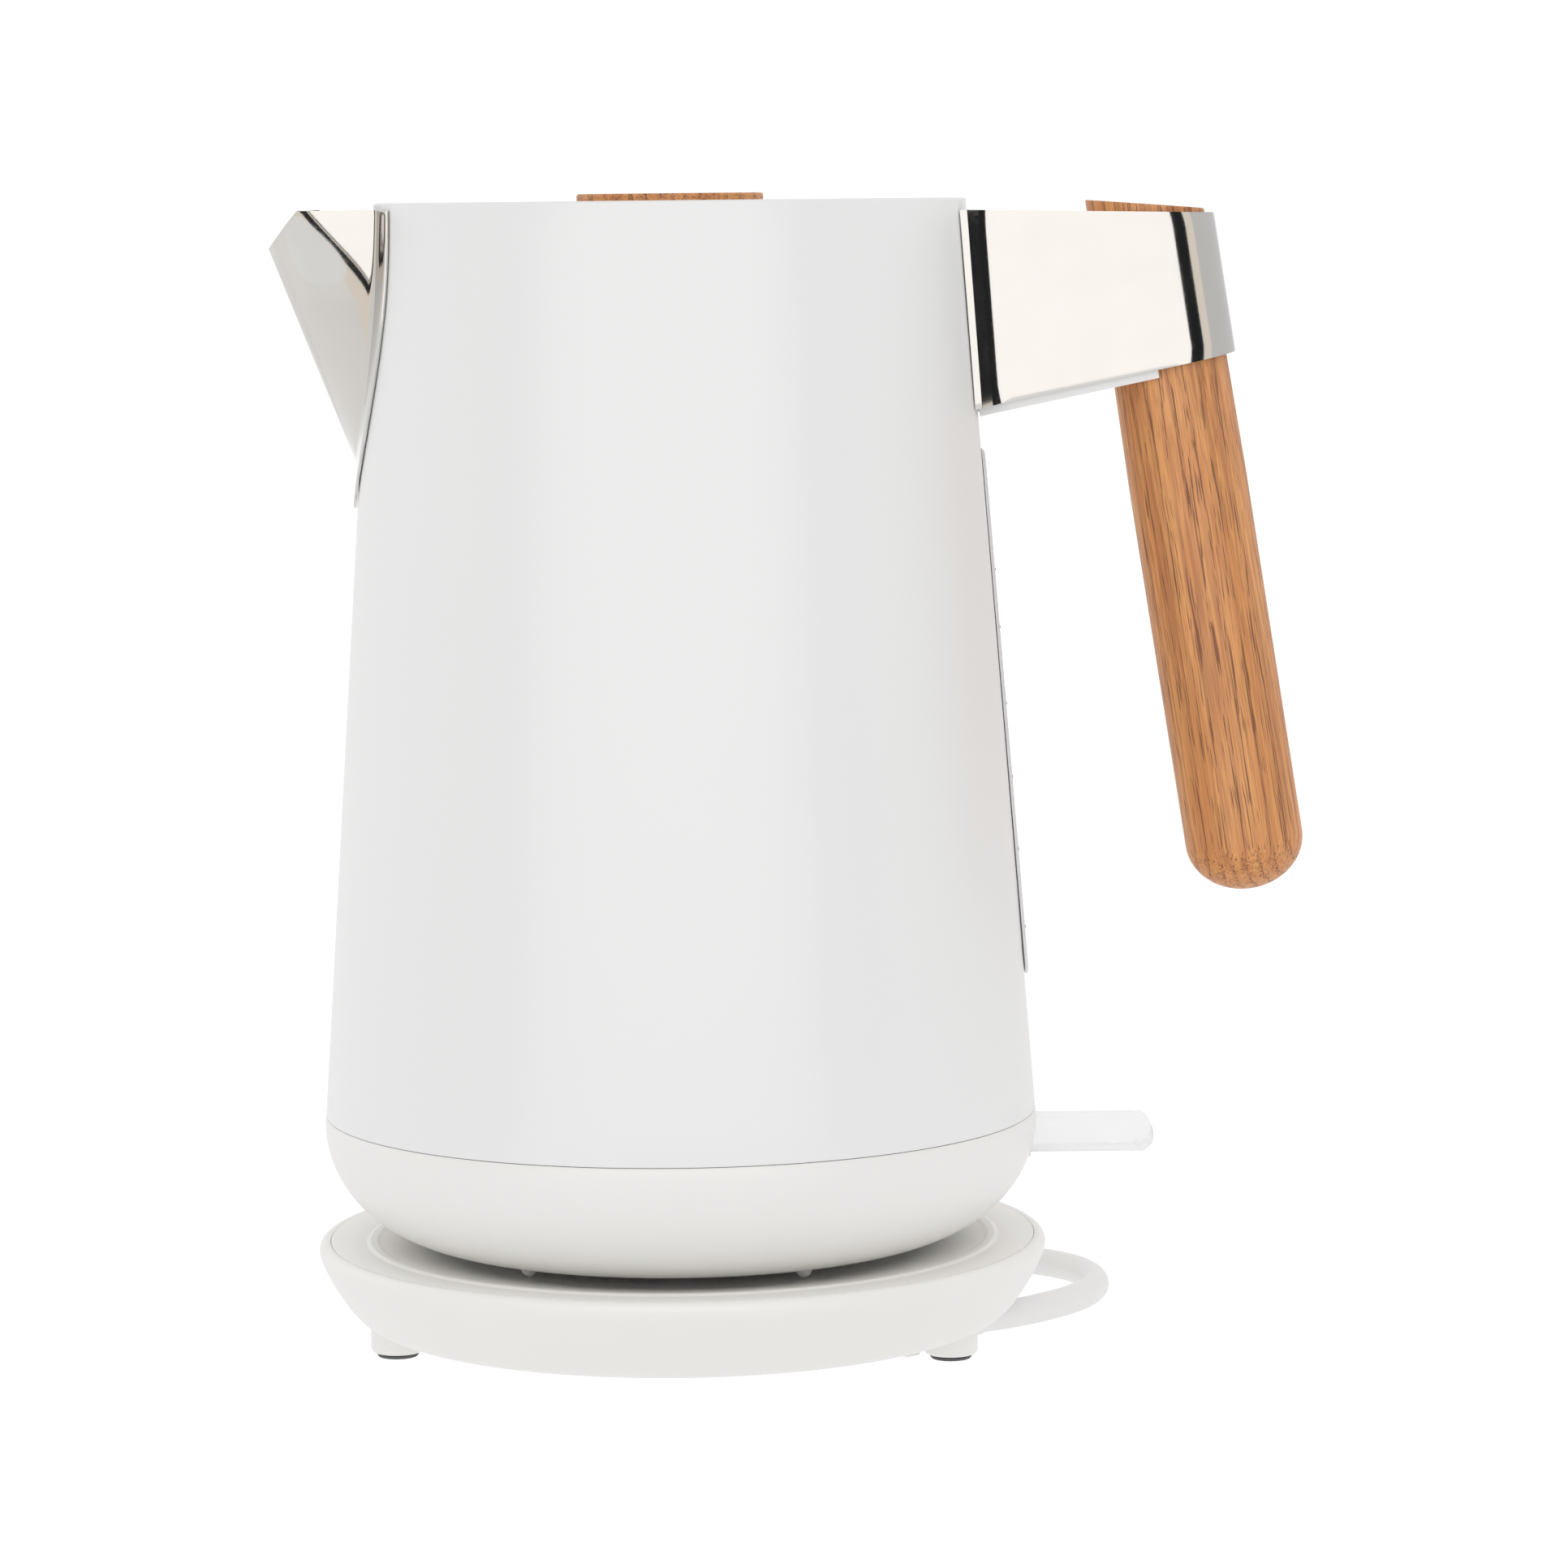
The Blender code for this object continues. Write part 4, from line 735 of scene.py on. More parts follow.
def spout_section(z):
    """The spout's outer plan at a height: flange, fold, side and nose, and the same back."""
    half, edge = beak_half(z), flange_half(z)
    root = Vector((flange_x(half, z), half))
    rim = Vector((flange_x(edge, z), edge))
    long = root.x - min(beak_front(z), flange_x(0, z))
    boxy_from = 0.228
    lift = max(z - boxy_from, 0.0) / (BEAK_TOP[1] - boxy_from)
    boxy, sharp = 1.2 + 2.8 * lift**2, 1.15
    soft = 0.0005 * min(half / BEAK_HALF, 1.0)

    def side(part):
        return Vector((root.x - long * part, half * (1 - part**boxy) ** (1 / sharp)))

    def nose(y):
        eased_y = (math.hypot(y, soft) - soft) / (math.hypot(half, soft) - soft)
        return Vector((root.x - long * (1 - eased_y**sharp) ** (1 / boxy), y))

    reach = min(0.0012, 0.3 * half, 0.3 * (edge - half), 0.3 * long)
    near = root.lerp(rim, reach / (rim - root).length)
    first = reach / long
    flange = [rim.lerp(near, k / 4) for k in range(4)]
    fold = bend(near, root, side(first), 6)
    last = 0.90
    run = [side(first + (last - first) * k / 30) for k in range(1, 31)]
    end_y = run[-1].y
    tip = [nose(end_y * (1 - k / 10)) for k in range(1, 11)]
    row = flange + fold + run + tip
    mirrored = [Vector((p.x, -p.y)) for p in reversed(row[:-1])]
    return [(p.x, p.y, z) for p in [*row, *mirrored]]


def make_spout(surfaces):
    top = BEAK_TOP[1]
    low = FLANGE_LOW_Z + 0.0002
    rows = 70
    heights = [low + (top - low) * (k / rows) ** 1.3 for k in range(rows + 1)]
    skin = sheet_of([spout_section(z) for z in heights])
    spout = piece("beak", skin, surfaces["polished"], "jug", ["spout"], 50)
    thicken(spout, SPOUT_SHEET, (-1, 0, 0))
    keep_modifiers(spout)
    lip_top = Vector((BEAK_TOP[0], 0, BEAK_TOP[1]))
    run = Vector((BEAK_TIP[0], 0, BEAK_TIP[1])) - lip_top
    up = Vector((run.z, 0, -run.x)).normalized()
    lip = aim(box((-0.04, -0.04, 0.0), (0.04, 0.04, 0.03)), lip_top, up)
    cut(spout, [lip], 50)
    soften(spout, 0.00015, smooth=50)


# ---- handle ----
def grip_x(z):
    return GRIP_TOP_X + GRIP_SLOPE * (GRIP_TOP_Z - z)


def edge_height(column, edge, drop=0.0):
    x, _, lean = column
    at_x, at_z, slope = edge
    return (at_z - drop + slope * (x + lean * BAND_Z - at_x)) / (1 + slope * lean)


def column_point(column, z):
    x, y, lean = column
    return (x + lean * (BAND_Z - z), y, z)


def band_columns():
    """The band's outer plan: a lip against the jug, a flare, a flat side and round the grip.

    Each column is (x, y, lean), where the lean is how far x grows for each metre down.
    """
    root = cone_radius(BAND_Z) + GAP
    start = math.sqrt(root**2 - (BAND_HALF + BAND_FLARE) ** 2) - 0.0015
    middle = grip_x(BAND_Z)
    wide = BAND_HALF + BAND_FLARE
    lip, flare = 0.0030, 0.0045
    corners = [
        (start, -wide, 0),
        (start + lip, -wide, 0.0006),
        (start + lip + flare, -BAND_HALF, 0.0100),
        (middle, -BAND_HALF, 0),
    ]
    path = filleted(corners, False, 8)
    flare_end = path[-2][0]
    side = [(x, y, CONE_LEAN) for x, y in path[:-1]]
    for k in range(1, 12):
        part = k / 12
        lean = CONE_LEAN + (GRIP_SLOPE - CONE_LEAN) * part
        side.append((flare_end + (middle - flare_end) * part, -BAND_HALF, lean))
    stretch = math.hypot(1, GRIP_SLOPE)
    turn = arc(middle, 0, BAND_HALF, -90, 90, 48)
    half_turn = [(middle + (x - middle) * stretch, y, GRIP_SLOPE) for x, y in turn]
    return side + half_turn + [(x, -y, lean) for x, y, lean in reversed(side)]


def jug_space():
    low, high = 0.19, 0.26
    outline = [(cone_radius(z) + GAP, z) for z in (low, high)]
    return turned([(0, low), *outline, (0, high)], 256)


def make_band(surfaces):
    columns = []
    rows = 10
    for column in band_columns():
        low, high = edge_height(column, BAND_LOW), edge_height(column, BAND_TOP)
        heights = [low + (high - low) * k / rows for k in range(rows + 1)]
        columns.append([column_point(column, z) for z in heights])
    skin, polished = sheet_of(columns), surfaces["polished"]
    band = piece("handle_band", skin, polished, "jug", ["handle_bracket"], 35)
    thicken(band, SHEET, (1, 0, 0))
    keep_modifiers(band)
    cut(band, [jug_space()], 35)
    soften(band, 0.00022, smooth=35)


def make_liner(surfaces):
    half = BAND_HALF - SHEET - GAP
    root = cone_radius(BAND_Z) + GAP - 0.001
    middle = grip_x(BAND_Z)
    hole = GRIP_NECK_R + 0.0004
    lip = 0.0035
    start = math.degrees(math.acos(-lip / hole))
    ys = [half * (1 - k / 6) for k in range(13)]
    jug_side = [(math.sqrt(root**2 - y**2), y, CONE_LEAN) for y in ys]
    grip_side = [(x, y, GRIP_SLOPE) for x, y in arc(middle, 0, hole, -start, start - 360, 36)]
    ends = [(middle - lip, -half, GRIP_SLOPE)] + grip_side + [(middle - lip, half, GRIP_SLOPE)]
    outline = jug_side + ends
    low = [column_point(c, edge_height(c, BAND_LOW, LINER_LOWER)) for c in outline]
    high = [column_point(c, edge_height(c, BAND_TOP, 0.0006)) for c in outline]
    core = loft([low, high])
    liner = piece("band_core", core, surfaces["liner"], "jug", ["bracket_liner"], 30)
    x, z = grip_screw_place()
    well = rod((0.058, 0, z), (x + 0.0004, 0, z), 0.0036)
    shank = rod((x - 0.001, 0, z), (x + 0.03, 0, z), SCREW_HOLE_R)
    cut(liner, [jug_space(), *screw_rods(0.0020), well, shank], 30)
    soften(liner, 0.0004, 2, 50)


def grip_screw_place():
    return grip_x(GRIP_SCREW_Z) - GRIP_NECK_R - 0.008, GRIP_SCREW_Z


def make_grip(surfaces):
    length = GRIP_LENGTH
    steps = 16
    dome = [
        (GRIP_R * math.cos(a), -length + GRIP_DOME * (1 - math.sin(a)))
        for a in [math.pi / 2 * (1 - k / steps) for k in range(steps + 1)]
    ]
    dome[0] = (0, -length)
    neck = [(GRIP_R, -0.060), (GRIP_NECK_R, -0.036), (GRIP_NECK_R, 0.008), (0, 0.008)]
    bar = aim(turned(dome + neck, 96), (GRIP_TOP_X, 0, GRIP_TOP_Z), (-GRIP_SLOPE, 0, 1))
    grip = piece("grip_bar", bar, surfaces["bar_oak"], "jug", ["handle_grip"], 35)
    top, end = [Vector((x, 0, z)) for x, z in GRIP_FLAT]
    run = end - top
    up = Vector((-run.z, 0, run.x)).normalized()
    plane = aim(box((-0.05, -0.03, 0), (0.05, 0.03, 0.02)), top, up)
    x, z = grip_screw_place()
    hole = rod((x, 0, z), (x + 0.0185, 0, z), SCREW_HOLE_R)
    cut(grip, [plane, hole], 35)
    soften(grip, 0.0005, 3, 50, 50)


# ---- water window ----
def window_ring(depth, wide, tall, radius):
    """A rounded rectangle that lies on the jug's flat strip, or stands off it by the depth."""
    ring = [(y, WINDOW_MID_Z + z) for y, z in rounded_rectangle(wide, tall, radius)]
    return [(flat_x(z) + depth, y, z) for y, z in ring]


def make_window(surfaces):
    tall = WINDOW_TOP_Z - WINDOW_LOW_Z
    edge, corner = 0.0007, 0.0050
    rings = []
    for angle in (90, 60, 30, 0):
        turn = math.radians(angle)
        inset = edge * (1 - math.cos(turn))
        depth = WINDOW_PROUD - edge * (1 - math.sin(turn))
        rings.append(window_ring(depth, WINDOW_WIDE - 2 * inset, tall - 2 * inset, corner - inset))
    rings.append(window_ring(GAP, WINDOW_WIDE, tall, corner))
    for depth in (GAP, -0.0045):
        rings.append(window_ring(depth, WINDOW_PLUG_WIDE, tall - 0.0088, 0.0041))
    pane, frosted = loft(rings), surfaces["window"]
    piece("window_pane", pane, frosted, "jug", ["water_window"], 40)
    make_level_marks(surfaces)


def make_level_marks(surfaces):
    """Printed level lines, with a number at each half litre."""
    start_y, half_thick = -0.0072, 0.0002
    bars = []
    for k, z in enumerate(LEVEL_HEIGHTS):
        end_y = start_y + (0.0062 if k % 2 == 0 else 0.0036)
        x = flat_x(z) + WINDOW_PROUD
        low = (x - 0.00005, start_y, z - half_thick)
        bars.append(box(low, (x + 0.00016, end_y, z + half_thick)))
    piece("level_marks", join(*bars), surfaces["ink"], "jug", ())
    for label, z in zip(("0.5", "1.0", "1.5"), LEVEL_HEIGHTS[::2]):
        make_label(f"level_{label.replace('.', '_')}", label, z, surfaces)


def make_label(name, words, z, surfaces):
    text = bpy.data.curves.new(name, "FONT")
    text.body = words
    text.size = 0.0042
    text.extrude = 0.00004
    text.align_x = "LEFT"
    text.align_y = "CENTER"
    guide = bpy.data.objects.new("guide", text)
    bpy.context.scene.collection.objects.link(guide)
    bpy.context.view_layer.update()
    seen = guide.evaluated_get(bpy.context.evaluated_depsgraph_get())
    mesh = bpy.data.meshes.new_from_object(seen)
    bpy.data.objects.remove(guide, do_unlink=True)
    bm = bmesh.new()
    bm.from_mesh(mesh)
    bpy.data.meshes.remove(mesh)
    lean = math.atan(FLAT_SLOPE)
    place = Matrix.Translation((flat_x(z) + WINDOW_PROUD, 0.0002, z))
    turn = Matrix.Rotation(-lean, 4, "Y") @ Matrix.Rotation(math.pi / 2, 4, "Z")
    turn = turn @ Matrix.Rotation(math.pi / 2, 4, "X")
    bmesh.ops.transform(bm, verts=bm.verts, matrix=place @ turn)
    piece(name, bm, surfaces["ink"], "jug", ())


# ---- lid and knob ----
def make_lid(surfaces):
    top, thick = LID_TOP_Z, 0.0015
    dish, floor = LID_DISH_R, LID_DISH_Z
    cover = [
        (0.0030, floor, 0),
        (dish, floor, 0.0040),
        (dish + 0.0012, top, 0.0012),
        (LID_R, top, 0.0004),
        (LID_R, 0.2472, 0.0002),
        (LID_R - 0.0012, 0.2472, 0),
        (LID_R - 0.0012, 0.2436, 0.0002),
        (LID_R - 0.0030, 0.2436, 0.0002),
        (LID_R - 0.0030, top - thick, 0.0003),
        (dish + 0.0030, top - thick, 0.0006),
        (dish + 0.0014, floor - thick + 0.0010, 0.0030),
        (dish - 0.0020, floor - thick, 0.0010),
        (0.0030, floor - thick, 0),
    ]
    pan = turned(filleted(cover, True, 6))
    piece("lid_pan", pan, surfaces["paint"], "lid", ["lid_cover"], 40)
    make_knob(surfaces)


def make_knob(surfaces):
    low = KNOB_TOP_Z - KNOB_THICK
    knob = [
        (0, low, 0),
        (KNOB_R - 0.0020, low, 0.0012),
        (KNOB_R, low + 0.0030, 0.0015),
        (KNOB_R, KNOB_TOP_Z, 0.0006),
        (0, KNOB_TOP_Z, 0),
    ]
    shape = turned(filleted(knob, False, 6), 128)
    disc = piece("knob_disc", shape, surfaces["knob_oak"], "lid", ["lid_knob"], 40)
    cut(disc, [rod((0, 0, low - 0.001), (0, 0, low + 0.0055), 0.0021)], 40)
    stem = [
        (0.0021, LID_DISH_Z + GAP, 0),
        (0.0070, LID_DISH_Z + GAP, 0.0004),
        (0.0055, LID_DISH_Z + 0.0030, 0.0015),
        (0.0055, low - GAP - 0.0010, 0.0006),
        (0.0080, low - GAP, 0.0001),
        (0.0021, low - GAP, 0),
    ]
    post = turned(filleted(stem, True, 4), SMALL_ROUND)
    piece("knob_post", post, surfaces["polished"], "lid", ["knob_stem"], 40)


# ---- switch ----
def make_paddle(surfaces):
    """A clear moulded paddle, with a small boss and one groove near its tip."""
    thick, half = LEVER_HALF_THICK, LEVER_HALF_WIDE
    under = [(0.0640, -thick * 0.5, 0.0004), (0.0700, -thick, 0.0015), (LEVER_TIP_X, -thick, 0.0030)]
    over = [(x, -z, radius) for x, z, radius in reversed(under)]
    profile = [(x, LEVER_MID_Z + z, radius) for x, z, radius in under + over]
    outline = filleted(profile, True, 6)
    blade = loft([[(x, y, z) for x, z in outline] for y in (-half, half)])
    paddle = piece("paddle", blade, surfaces["clear"], "switch", ["switch_lever"], 35)
    front = -half
    boss = rod((0.0781, front - 0.0004, 0.0482), (0.0781, front + 0.001, 0.0482), 0.0013)
    cut(paddle, [boss], 35, "UNION")
    groove = box((0.0986, front - 0.001, 0.0439), (0.0992, front + 0.0005, 0.0480))
    pin_hole = rod((PIN_X, -0.02, PIN_Z), (PIN_X, 0.02, PIN_Z), PIN_HOLE_R)
    cut(paddle, [pin_hole, groove], 35)
    soften(paddle, 0.0007, 3, 50)


# ---- power base ----
def make_base(surfaces):
    flank = [
        (0.0560, UNDERSIDE_Z),
        (0.0640, UNDERSIDE_Z),
        (0.0690, 0.0077),
        (0.0725, 0.0105),
        (0.0760, 0.0155),
        (0.0786, 0.0205),
        (0.0793, 0.0230),
        (0.0789, 0.0243),
        (0.0781, COVER_Z - 0.0001),
        (0.0774, COVER_Z),
    ]
    groove = COVER_R + HAIRLINE
    outline = [(0, UNDERSIDE_Z)] + [tuple(p) for p in smooth_points(flank, 6)]
    outline += [
        (groove, COVER_Z - 0.0001),
        (groove, LEDGE_Z),
        (0.0746, LEDGE_Z),
        (0.0746, 0.0175),
        (0.0705, 0.0112),
        (0.0660, BASE_WALL_Z),
        (0, BASE_WALL_Z),
    ]
    shell, white = turned(outline), surfaces["white"]
    base = piece("base_housing", shell, white, "base", ["base_shell"], 40)
    posts = []
    for radius, angle in FEET:
        x, y = on_circle(radius, angle)
        post = [(0, PAD_THICK + GAP)]
        post += arc(FOOT_R - 0.0012, PAD_THICK + GAP + 0.0012, 0.0012, -90, 0, 6)
        post += [(FOOT_R, 0.0090), (0, 0.0090)]
        posts.append(turned(post, 48, x, y))
    roof = along_gland(box((-0.0065, -0.0360, 0.0070), (0.0065, 0.0000, 0.0140)))
    cut(base, [*posts, roof], 40, "UNION")
    channel = along_gland(box((-0.0050, -0.0340, -0.0010), (0.0050, 0.0150, 0.0125)))
    holes = []
    for angle in BASE_SCREWS:
        x, y = on_circle(BASE_SCREW_CIRCLE, angle)
        holes.append(rod((x, y, 0.004), (x, y, 0.010), SCREW_HOLE_R))
    cut(base, [channel, *holes], 40)
    make_deck(surfaces)


def make_deck(surfaces):
    """The base's cover: a raised ring, a shallow dish and a hole for the connector."""
    outline = [
        (COVER_R, LEDGE_Z + GAP, 0),
        (COVER_R, COVER_Z, 0.0001),
        (0.0691, 0.0245, 0.0010),
        (0.0682, 0.0249, 0.0006),
        (0.0668, 0.0248, 0.0006),
        (0.0658, 0.0245, 0.0010),
        (0.0580, 0.0235, 0.0100),
        (0.0500, DISH_Z, 0.0100),
        (0.0165, DISH_Z, 0.0004),
        (0.0165, DISH_Z - 0.0020, 0),
        (0.0540, DISH_Z - 0.0020, 0),
        (0.0665, LEDGE_Z + GAP, 0),
    ]
    deck = turned(filleted(outline, True, 6))
    piece("base_deck", deck, surfaces["white"], "base", ["base_top"], 40)


def along_gland(bm):
    turn = Matrix.Rotation(math.radians(GLAND_HEADING - 90), 4, "Z")
    place = Matrix.Translation((GLAND_MOUTH[0], GLAND_MOUTH[1], 0))
    bmesh.ops.transform(bm, verts=bm.verts, matrix=place @ turn)
    return bm


# ---- cord ----
def cord_route():
    """Out of the gland and round behind the base, up to the coil."""
    x, y, z = GLAND_MOUTH
    return [
        (x, y, z),
        (0.0725, 0.0132, 0.0034),
        (0.0800, 0.0208, CORD_Z),
        (0.0866, 0.0291, CORD_Z),
        (0.0913, 0.0388, CORD_Z),
        (0.0929, 0.0497, CORD_Z),
        (0.0908, 0.0606, CORD_Z),
        (0.0851, 0.0699, CORD_Z),
        (0.0764, 0.0765, CORD_Z),
        (0.0656, 0.0803, CORD_Z),
        (0.0540, 0.0827, 0.0036),
        (0.0440, 0.0845, 0.0040),
        (0.0362, 0.0856, 0.0043),
        (0.0240, 0.0857, 0.0043),
    ]


def eased(value, start, end):
    part = min(max((value - start) / (end - start), 0.0), 1.0)
    return part * part * (3 - 2 * part)


def coil_points():
    """Three turns and a quarter: one outside, two inside, one on the other, and out on top."""
    outer, inner = COIL_MID_R + CORD_R, COIL_MID_R - CORD_R
    rise = 2 * CORD_R
    points = []
    for turn in range(0, 1171, 15):
        radius = outer + (inner - outer) * (eased(turn, 265, 335) - eased(turn, 1000, 1060))
        height = COIL_LOW_Z + rise * eased(turn, 605, 680)
        angle = math.radians(-90 - turn)
        x, y = radius * math.cos(angle), radius * math.sin(angle)
        points.append((COIL_X + x, COIL_Y + y, height))
    return points


def plug_entry():
    return (COIL_X - COIL_MID_R - CORD_R, COIL_Y + PLUG_GAP_Y, PLUG_ENTRY_Z)


def make_cord(surfaces):
    x, entry_y, entry_z = plug_entry()
    tail = [(x, COIL_Y + 0.010, 0.0106), (x, COIL_Y + 0.018, 0.0103), (x, entry_y + 0.001, entry_z)]
    places = cord_route() + coil_points() + tail
    curve = bpy.data.curves.new("mains_cord", "CURVE")
    curve.dimensions = "3D"
    curve.bevel_depth = CORD_R
    curve.bevel_resolution = 6
    curve.resolution_u = 8
    curve.use_fill_caps = True
    spline = curve.splines.new("BEZIER")
    spline.bezier_points.add(len(places) - 1)
    for point, place in zip(spline.bezier_points, places):
        point.co = (place[0] + JUG_X, place[1], place[2])
        point.handle_left_type = "AUTO"
        point.handle_right_type = "AUTO"
    curve.materials.append(surfaces["cord"])
    cord = bpy.data.objects.new("mains_cord", curve)
    bpy.context.scene.collection.objects.link(cord)
    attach(cord, "base")
    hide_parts("power_cord", "cord_coil")
    return cord


def ribbed(length, start_r, end_r, rings, collar):
    """A tapered boot with grooves round it and a collar at its thick end."""
    outline = [(0, 0), (start_r, 0)]
    pitch = (length - collar) / (rings + 1)
    for k in range(rings):
        z = pitch * (k + 0.9)
        radius = start_r + (end_r - start_r) * z / length
        groove = radius - 0.00045
        outline += [
            (radius, z - pitch * 0.20),
            (groove, z - pitch * 0.12),
            (groove, z + pitch * 0.12),
            (radius, z + pitch * 0.20),
        ]
    outline += [(end_r, length - 0.0004), (end_r - 0.0004, length), (0, length)]
    return turned(outline, 40)


def make_strain_reliefs(surfaces):
    angle = math.radians(GLAND_HEADING)
    back = Vector((-math.cos(angle), -math.sin(angle), 0.11)).normalized()
    gland = aim(ribbed(GLAND_LENGTH, CORD_R + 0.0004, CORD_R + 0.0014, 5, 0.005), GLAND_MOUTH, back)
    boot = ribbed(BOOT_LENGTH, CORD_R + 0.0004, CORD_R + 0.0019, 4, 0.003)
    boot = aim(boot, plug_entry(), (0, 1, 0))
    sleeves = (("gland_sleeve", gland, "cord_gland"), ("plug_sleeve", boot, "plug_boot"))
    return [
        piece(name, bm, surfaces["cord"], "base", [node], 50)
        for name, bm, node in sleeves
    ]


def make_plug(surfaces):
    """A moulded plug that lies on its back, with a grip recess on each side."""
    x, entry_y, _ = plug_entry()
    low_y = entry_y + BOOT_LENGTH + GAP
    wide, long = 0.0460, 0.0440
    rows = []
    for angle in range(0, 91, 15):
        part = math.radians(angle)
        rows.append((0.0002 + 0.0042 * (1 - math.cos(part)), 0.0050 * (1 - math.sin(part))))
    rows += [(0.0080, 0.0), (0.0120, 0.0), (0.0160, 0.0)]
    for angle in range(15, 91, 15):
        part = math.radians(angle)
        rows.append((0.0175 + 0.0025 * math.sin(part), 0.0025 * (1 - math.cos(part))))
    rings = []
    for z, inset in rows:
        outline = rounded_rectangle(wide - 2 * inset, long - 2 * inset, 0.0110 - inset, 10)
        rings.append([(x + u, low_y + long / 2 + v, z) for u, v in outline])
    shell = loft(rings)
    body = piece("plug_shell", shell, surfaces["cord"], "base", ["plug_body"], 40)
    places = [(x + side * 0.0305, low_y + 0.014) for side in (-1, 1)]
    cut(body, [rod((*place, -0.002), (*place, 0.024), 0.0090, 48) for place in places], 40)
    soften(body, 0.0006, 2, 50)
    return body


# ---- CAD nodes that stay ----
def numbered(name, count):
    return [f"{name}_{k}" for k in range(1, count + 1)]


def dress_nodes(surfaces):
    """Give every CAD node that still shows its own surface, and soften its edges."""
    steels = ["element_plate", "heating_element", "lid_underplate", "lid_seat", "switch_pin"]
    screws = ["grip_screw", "lid_screw", *numbered("handle_screw", 2)]
    screws += numbered("shell_screw", 3) + numbered("base_screw", 3)
    finishes = {
        "brushed": [*steels, "overcentre_spring", "shutter_spring"],
        "white": ["contact_shutter", "cord_clamp", "steam_tube"],
        "rubber": numbered("foot_pad", len(FEET)),
        "silicone": ["lid_seal", "element_seal", "window_seal", "spout_filter"],
        "black": ["thermostat_control", "trip_lever", "connector_socket", "base_connector", "cord_tie"],
        "brass": ["contact_ring", "contact_pin", "bimetal_disc", *PLUG_PINS],
        "zinc": screws,
        "lamp": ["indicator_lamp"],
    }
    for finish, names in finishes.items():
        for name in names:
            node = NODES[name]
            node.data.materials.clear()
            node.data.materials.append(surfaces[finish])
            edge_round(node, 0.0002)


# ---- studio ----
def emitter(name, colour, foot, top=None):
    """A glowing surface. With a top strength, it fades from the floor up to FADE_HEIGHT."""
    s = Surface(name)
    strength = foot
    if top is not None:
        place = s.add("SeparateXYZ", {"Vector": s.place})
        strength = s.remap(place.outputs["Z"], 0.0, FADE_HEIGHT, foot, top)
    return s.put(
        base_color=(0.0, 0.0, 0.0, 1.0),
        specular_ior_level=0.0,
        emission_color=(*colour, 1.0),
        emission_strength=strength,
    )


def staged(name, bm, surface):
    """A piece of the studio, which is no part of the kettle."""
    made = linked(name, bm)
    made.data.materials.append(surface)
    made.visible_diffuse = False
    return made


def make_card(low_angle, high_angle, surface):
    """A tall reflector round the object, seen only in its gloss. Angles run from -Y towards +X."""
    columns = []
    for k in range(9):
        angle = math.radians(low_angle + (high_angle - low_angle) * k / 8)
        x, y = CARD_DISTANCE * math.sin(angle), -CARD_DISTANCE * math.cos(angle)
        columns.append([(x, y, z) for z in (0.0, CARD_HEIGHT)])
    card = staged(f"card_{low_angle:+.0f}", sheet_of(columns), surface)
    card.visible_camera = False
    card.visible_transmission = False
    card.visible_shadow = False


def make_cards():
    cream = emitter("cream_card", (1.0, 0.975, 0.945), 1.60)
    dark = emitter("dark_card", (0.9, 1.0, 1.1), 0.02)
    beige = emitter("beige_card", (1.0, 0.92, 0.82), 1.05)
    pale = emitter("pale_card", (1.0, 0.99, 0.975), 1.06, 0.62)
    grey = emitter("grey_card", (1.0, 1.0, 1.0), 0.78)
    edges = (-150, -82, -64, -52.5, -50, -48, 44, 65, 79, 150)
    glows = (pale, beige, dark, beige, dark, cream, dark, beige, grey)
    for low, high, glow in zip(edges, edges[1:], glows):
        make_card(low, high, glow)


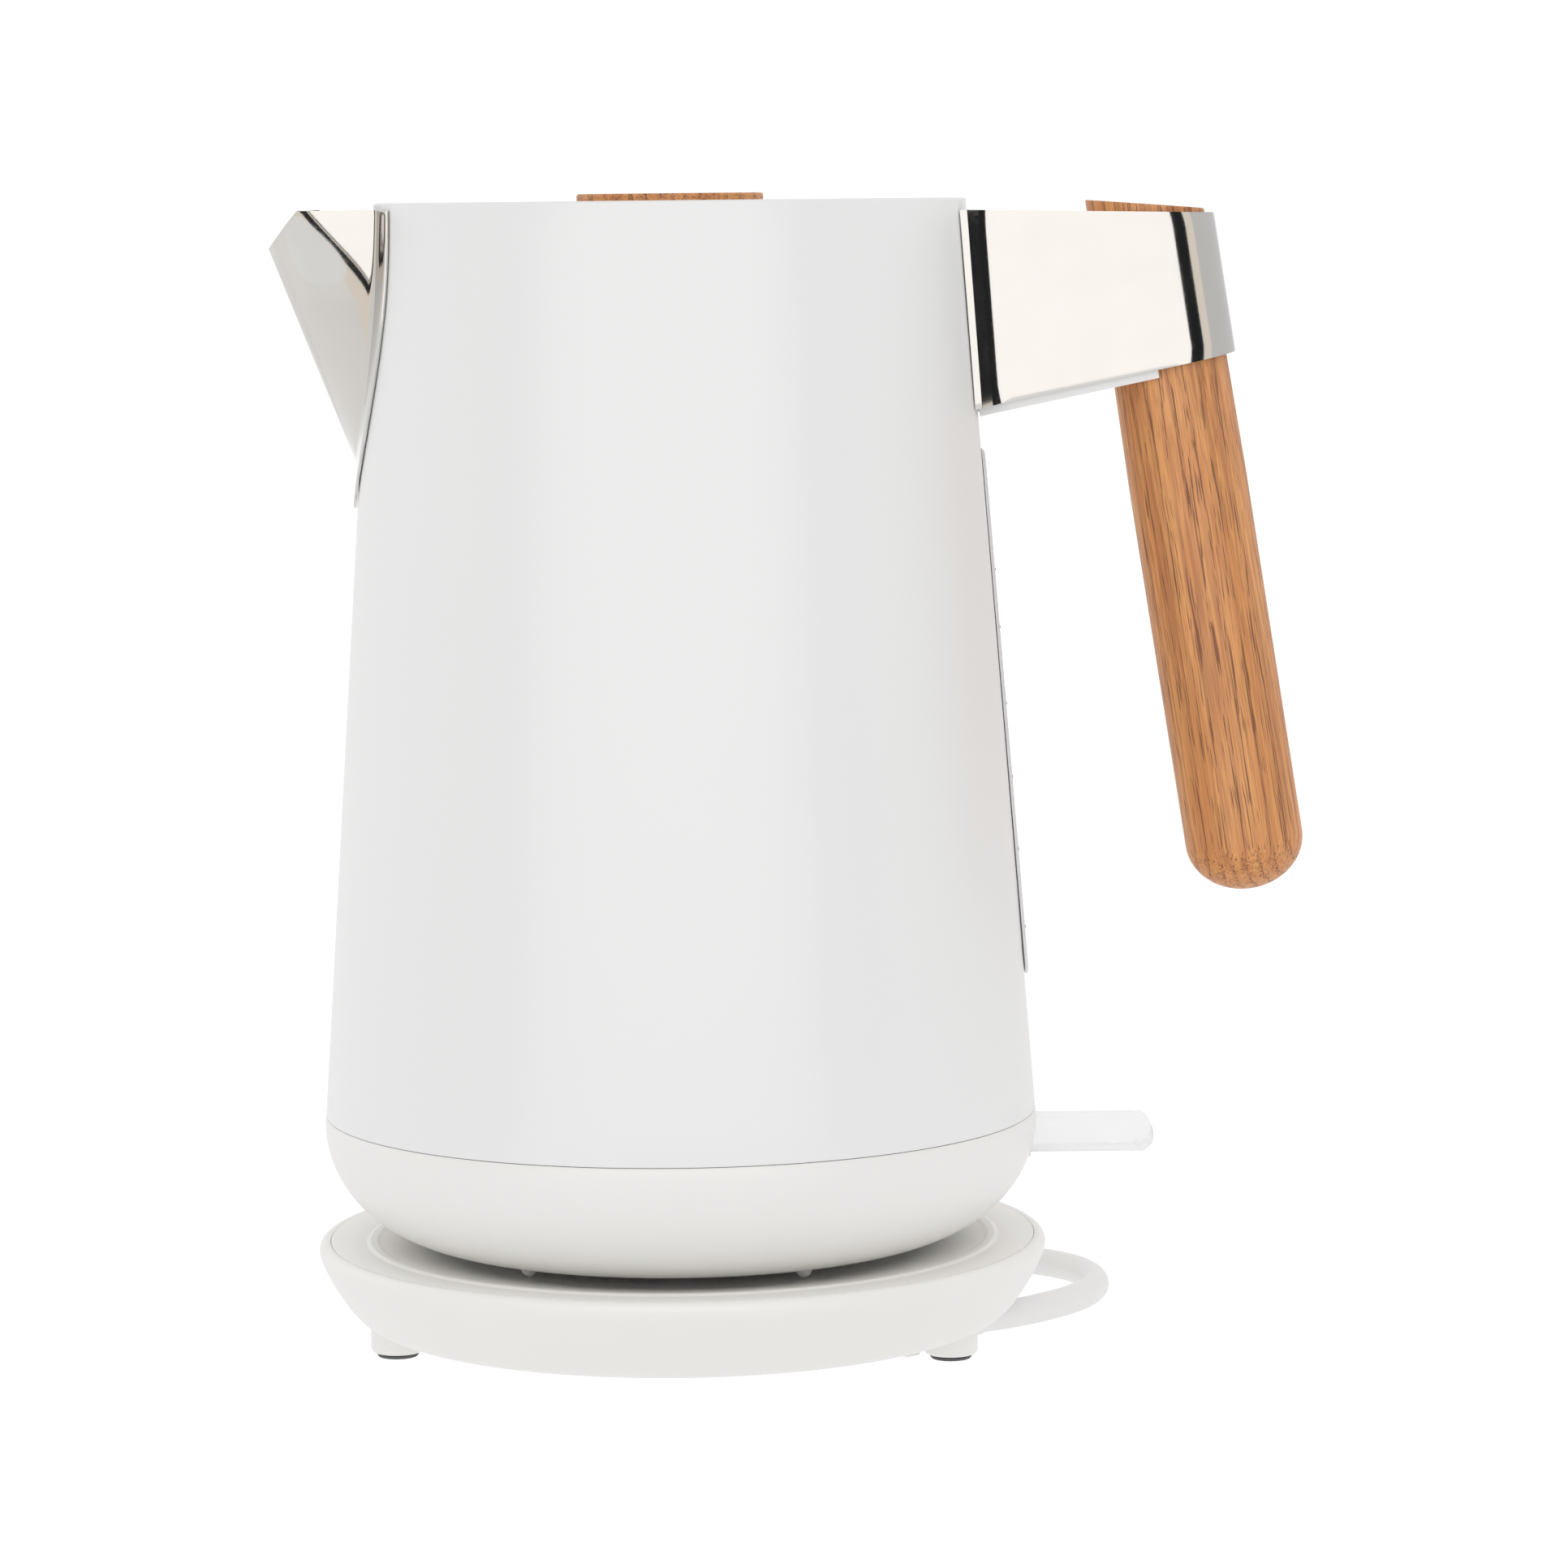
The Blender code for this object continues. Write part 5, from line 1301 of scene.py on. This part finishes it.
def make_floor_and_wall():
    s = Surface("studio_floor")
    s.put(
        base_color=s.mix(s.noise(0.5, 2.0), (0.15, 0.15, 0.15), (0.16, 0.16, 0.16)),
        roughness=0.9,
        specular_ior_level=0.0,
        emission_color=(1.0, 1.0, 1.0, 1.0),
        emission_strength=FLOOR_GLOW,
    )
    for name, y, tilt in (("studio_floor", 0.0, 0.0), ("studio_wall", WALL_Y, math.pi / 2)):
        bm = bmesh.new()
        bmesh.ops.create_grid(bm, x_segments=1, y_segments=1, size=STUDIO_HALF)
        made = staged(name, bm, s.material)
        made.location = (0.0, y, 0.0)
        made.rotation_euler = (tilt, 0.0, 0.0)


def add_softbox(angle):
    turn = math.radians(angle)
    x, y = SOFTBOX_DISTANCE * math.sin(turn), -SOFTBOX_DISTANCE * math.cos(turn)
    place = Vector((x, y, SOFTBOX_Z))
    name = f"softbox_{angle:+d}"
    lamp = bpy.data.lights.new(name, "AREA")
    lamp.shape = "SQUARE"
    lamp.size = SOFTBOX_SIZE
    lamp.energy = SOFTBOX_POWER
    made = bpy.data.objects.new(name, lamp)
    made.location = place
    made.rotation_euler = (Vector((0, 0, LIT_Z)) - place).to_track_quat("-Z", "Y").to_euler()
    made.visible_glossy = False
    bpy.context.scene.collection.objects.link(made)


def make_studio():
    scene = bpy.context.scene
    world = bpy.data.worlds.new("studio")
    world.use_nodes = True
    back = world.node_tree.nodes["Background"]
    back.inputs["Color"].default_value = (1.0, 1.0, 1.0, 1.0)
    back.inputs["Strength"].default_value = WORLD_STRENGTH
    scene.world = world
    scene.view_settings.view_transform = "Standard"
    make_floor_and_wall()
    make_cards()
    for angle in (-76, -38, 0, 38, 76):
        add_softbox(angle)


def make_camera():
    lens = bpy.data.cameras.new("camera")
    lens.lens = 126.5
    lens.sensor_width = 36.0
    lens.clip_end = 50.0
    made = bpy.data.objects.new("camera", lens)
    pitch, roll = math.radians(CAMERA_PITCH), math.radians(CAMERA_ROLL)
    turn = Matrix.Rotation(math.pi / 2 + pitch, 4, "X") @ Matrix.Rotation(roll, 4, "Z")
    made.matrix_world = Matrix.Translation(CAMERA_PLACE) @ turn
    bpy.context.scene.collection.objects.link(made)
    bpy.context.scene.camera = made


# ---- everything ----
surfaces = make_surfaces()
make_studio()
make_camera()
cord = make_cord(surfaces)
sleeves = make_strain_reliefs(surfaces)
plug = make_plug(surfaces)
make_base(surfaces)
make_jug(surfaces)
make_bowl(surfaces)
make_spout(surfaces)
make_band(surfaces)
make_liner(surfaces)
make_grip(surfaces)
make_window(surfaces)
make_lid(surfaces)
make_paddle(surfaces)
dress_nodes(surfaces)
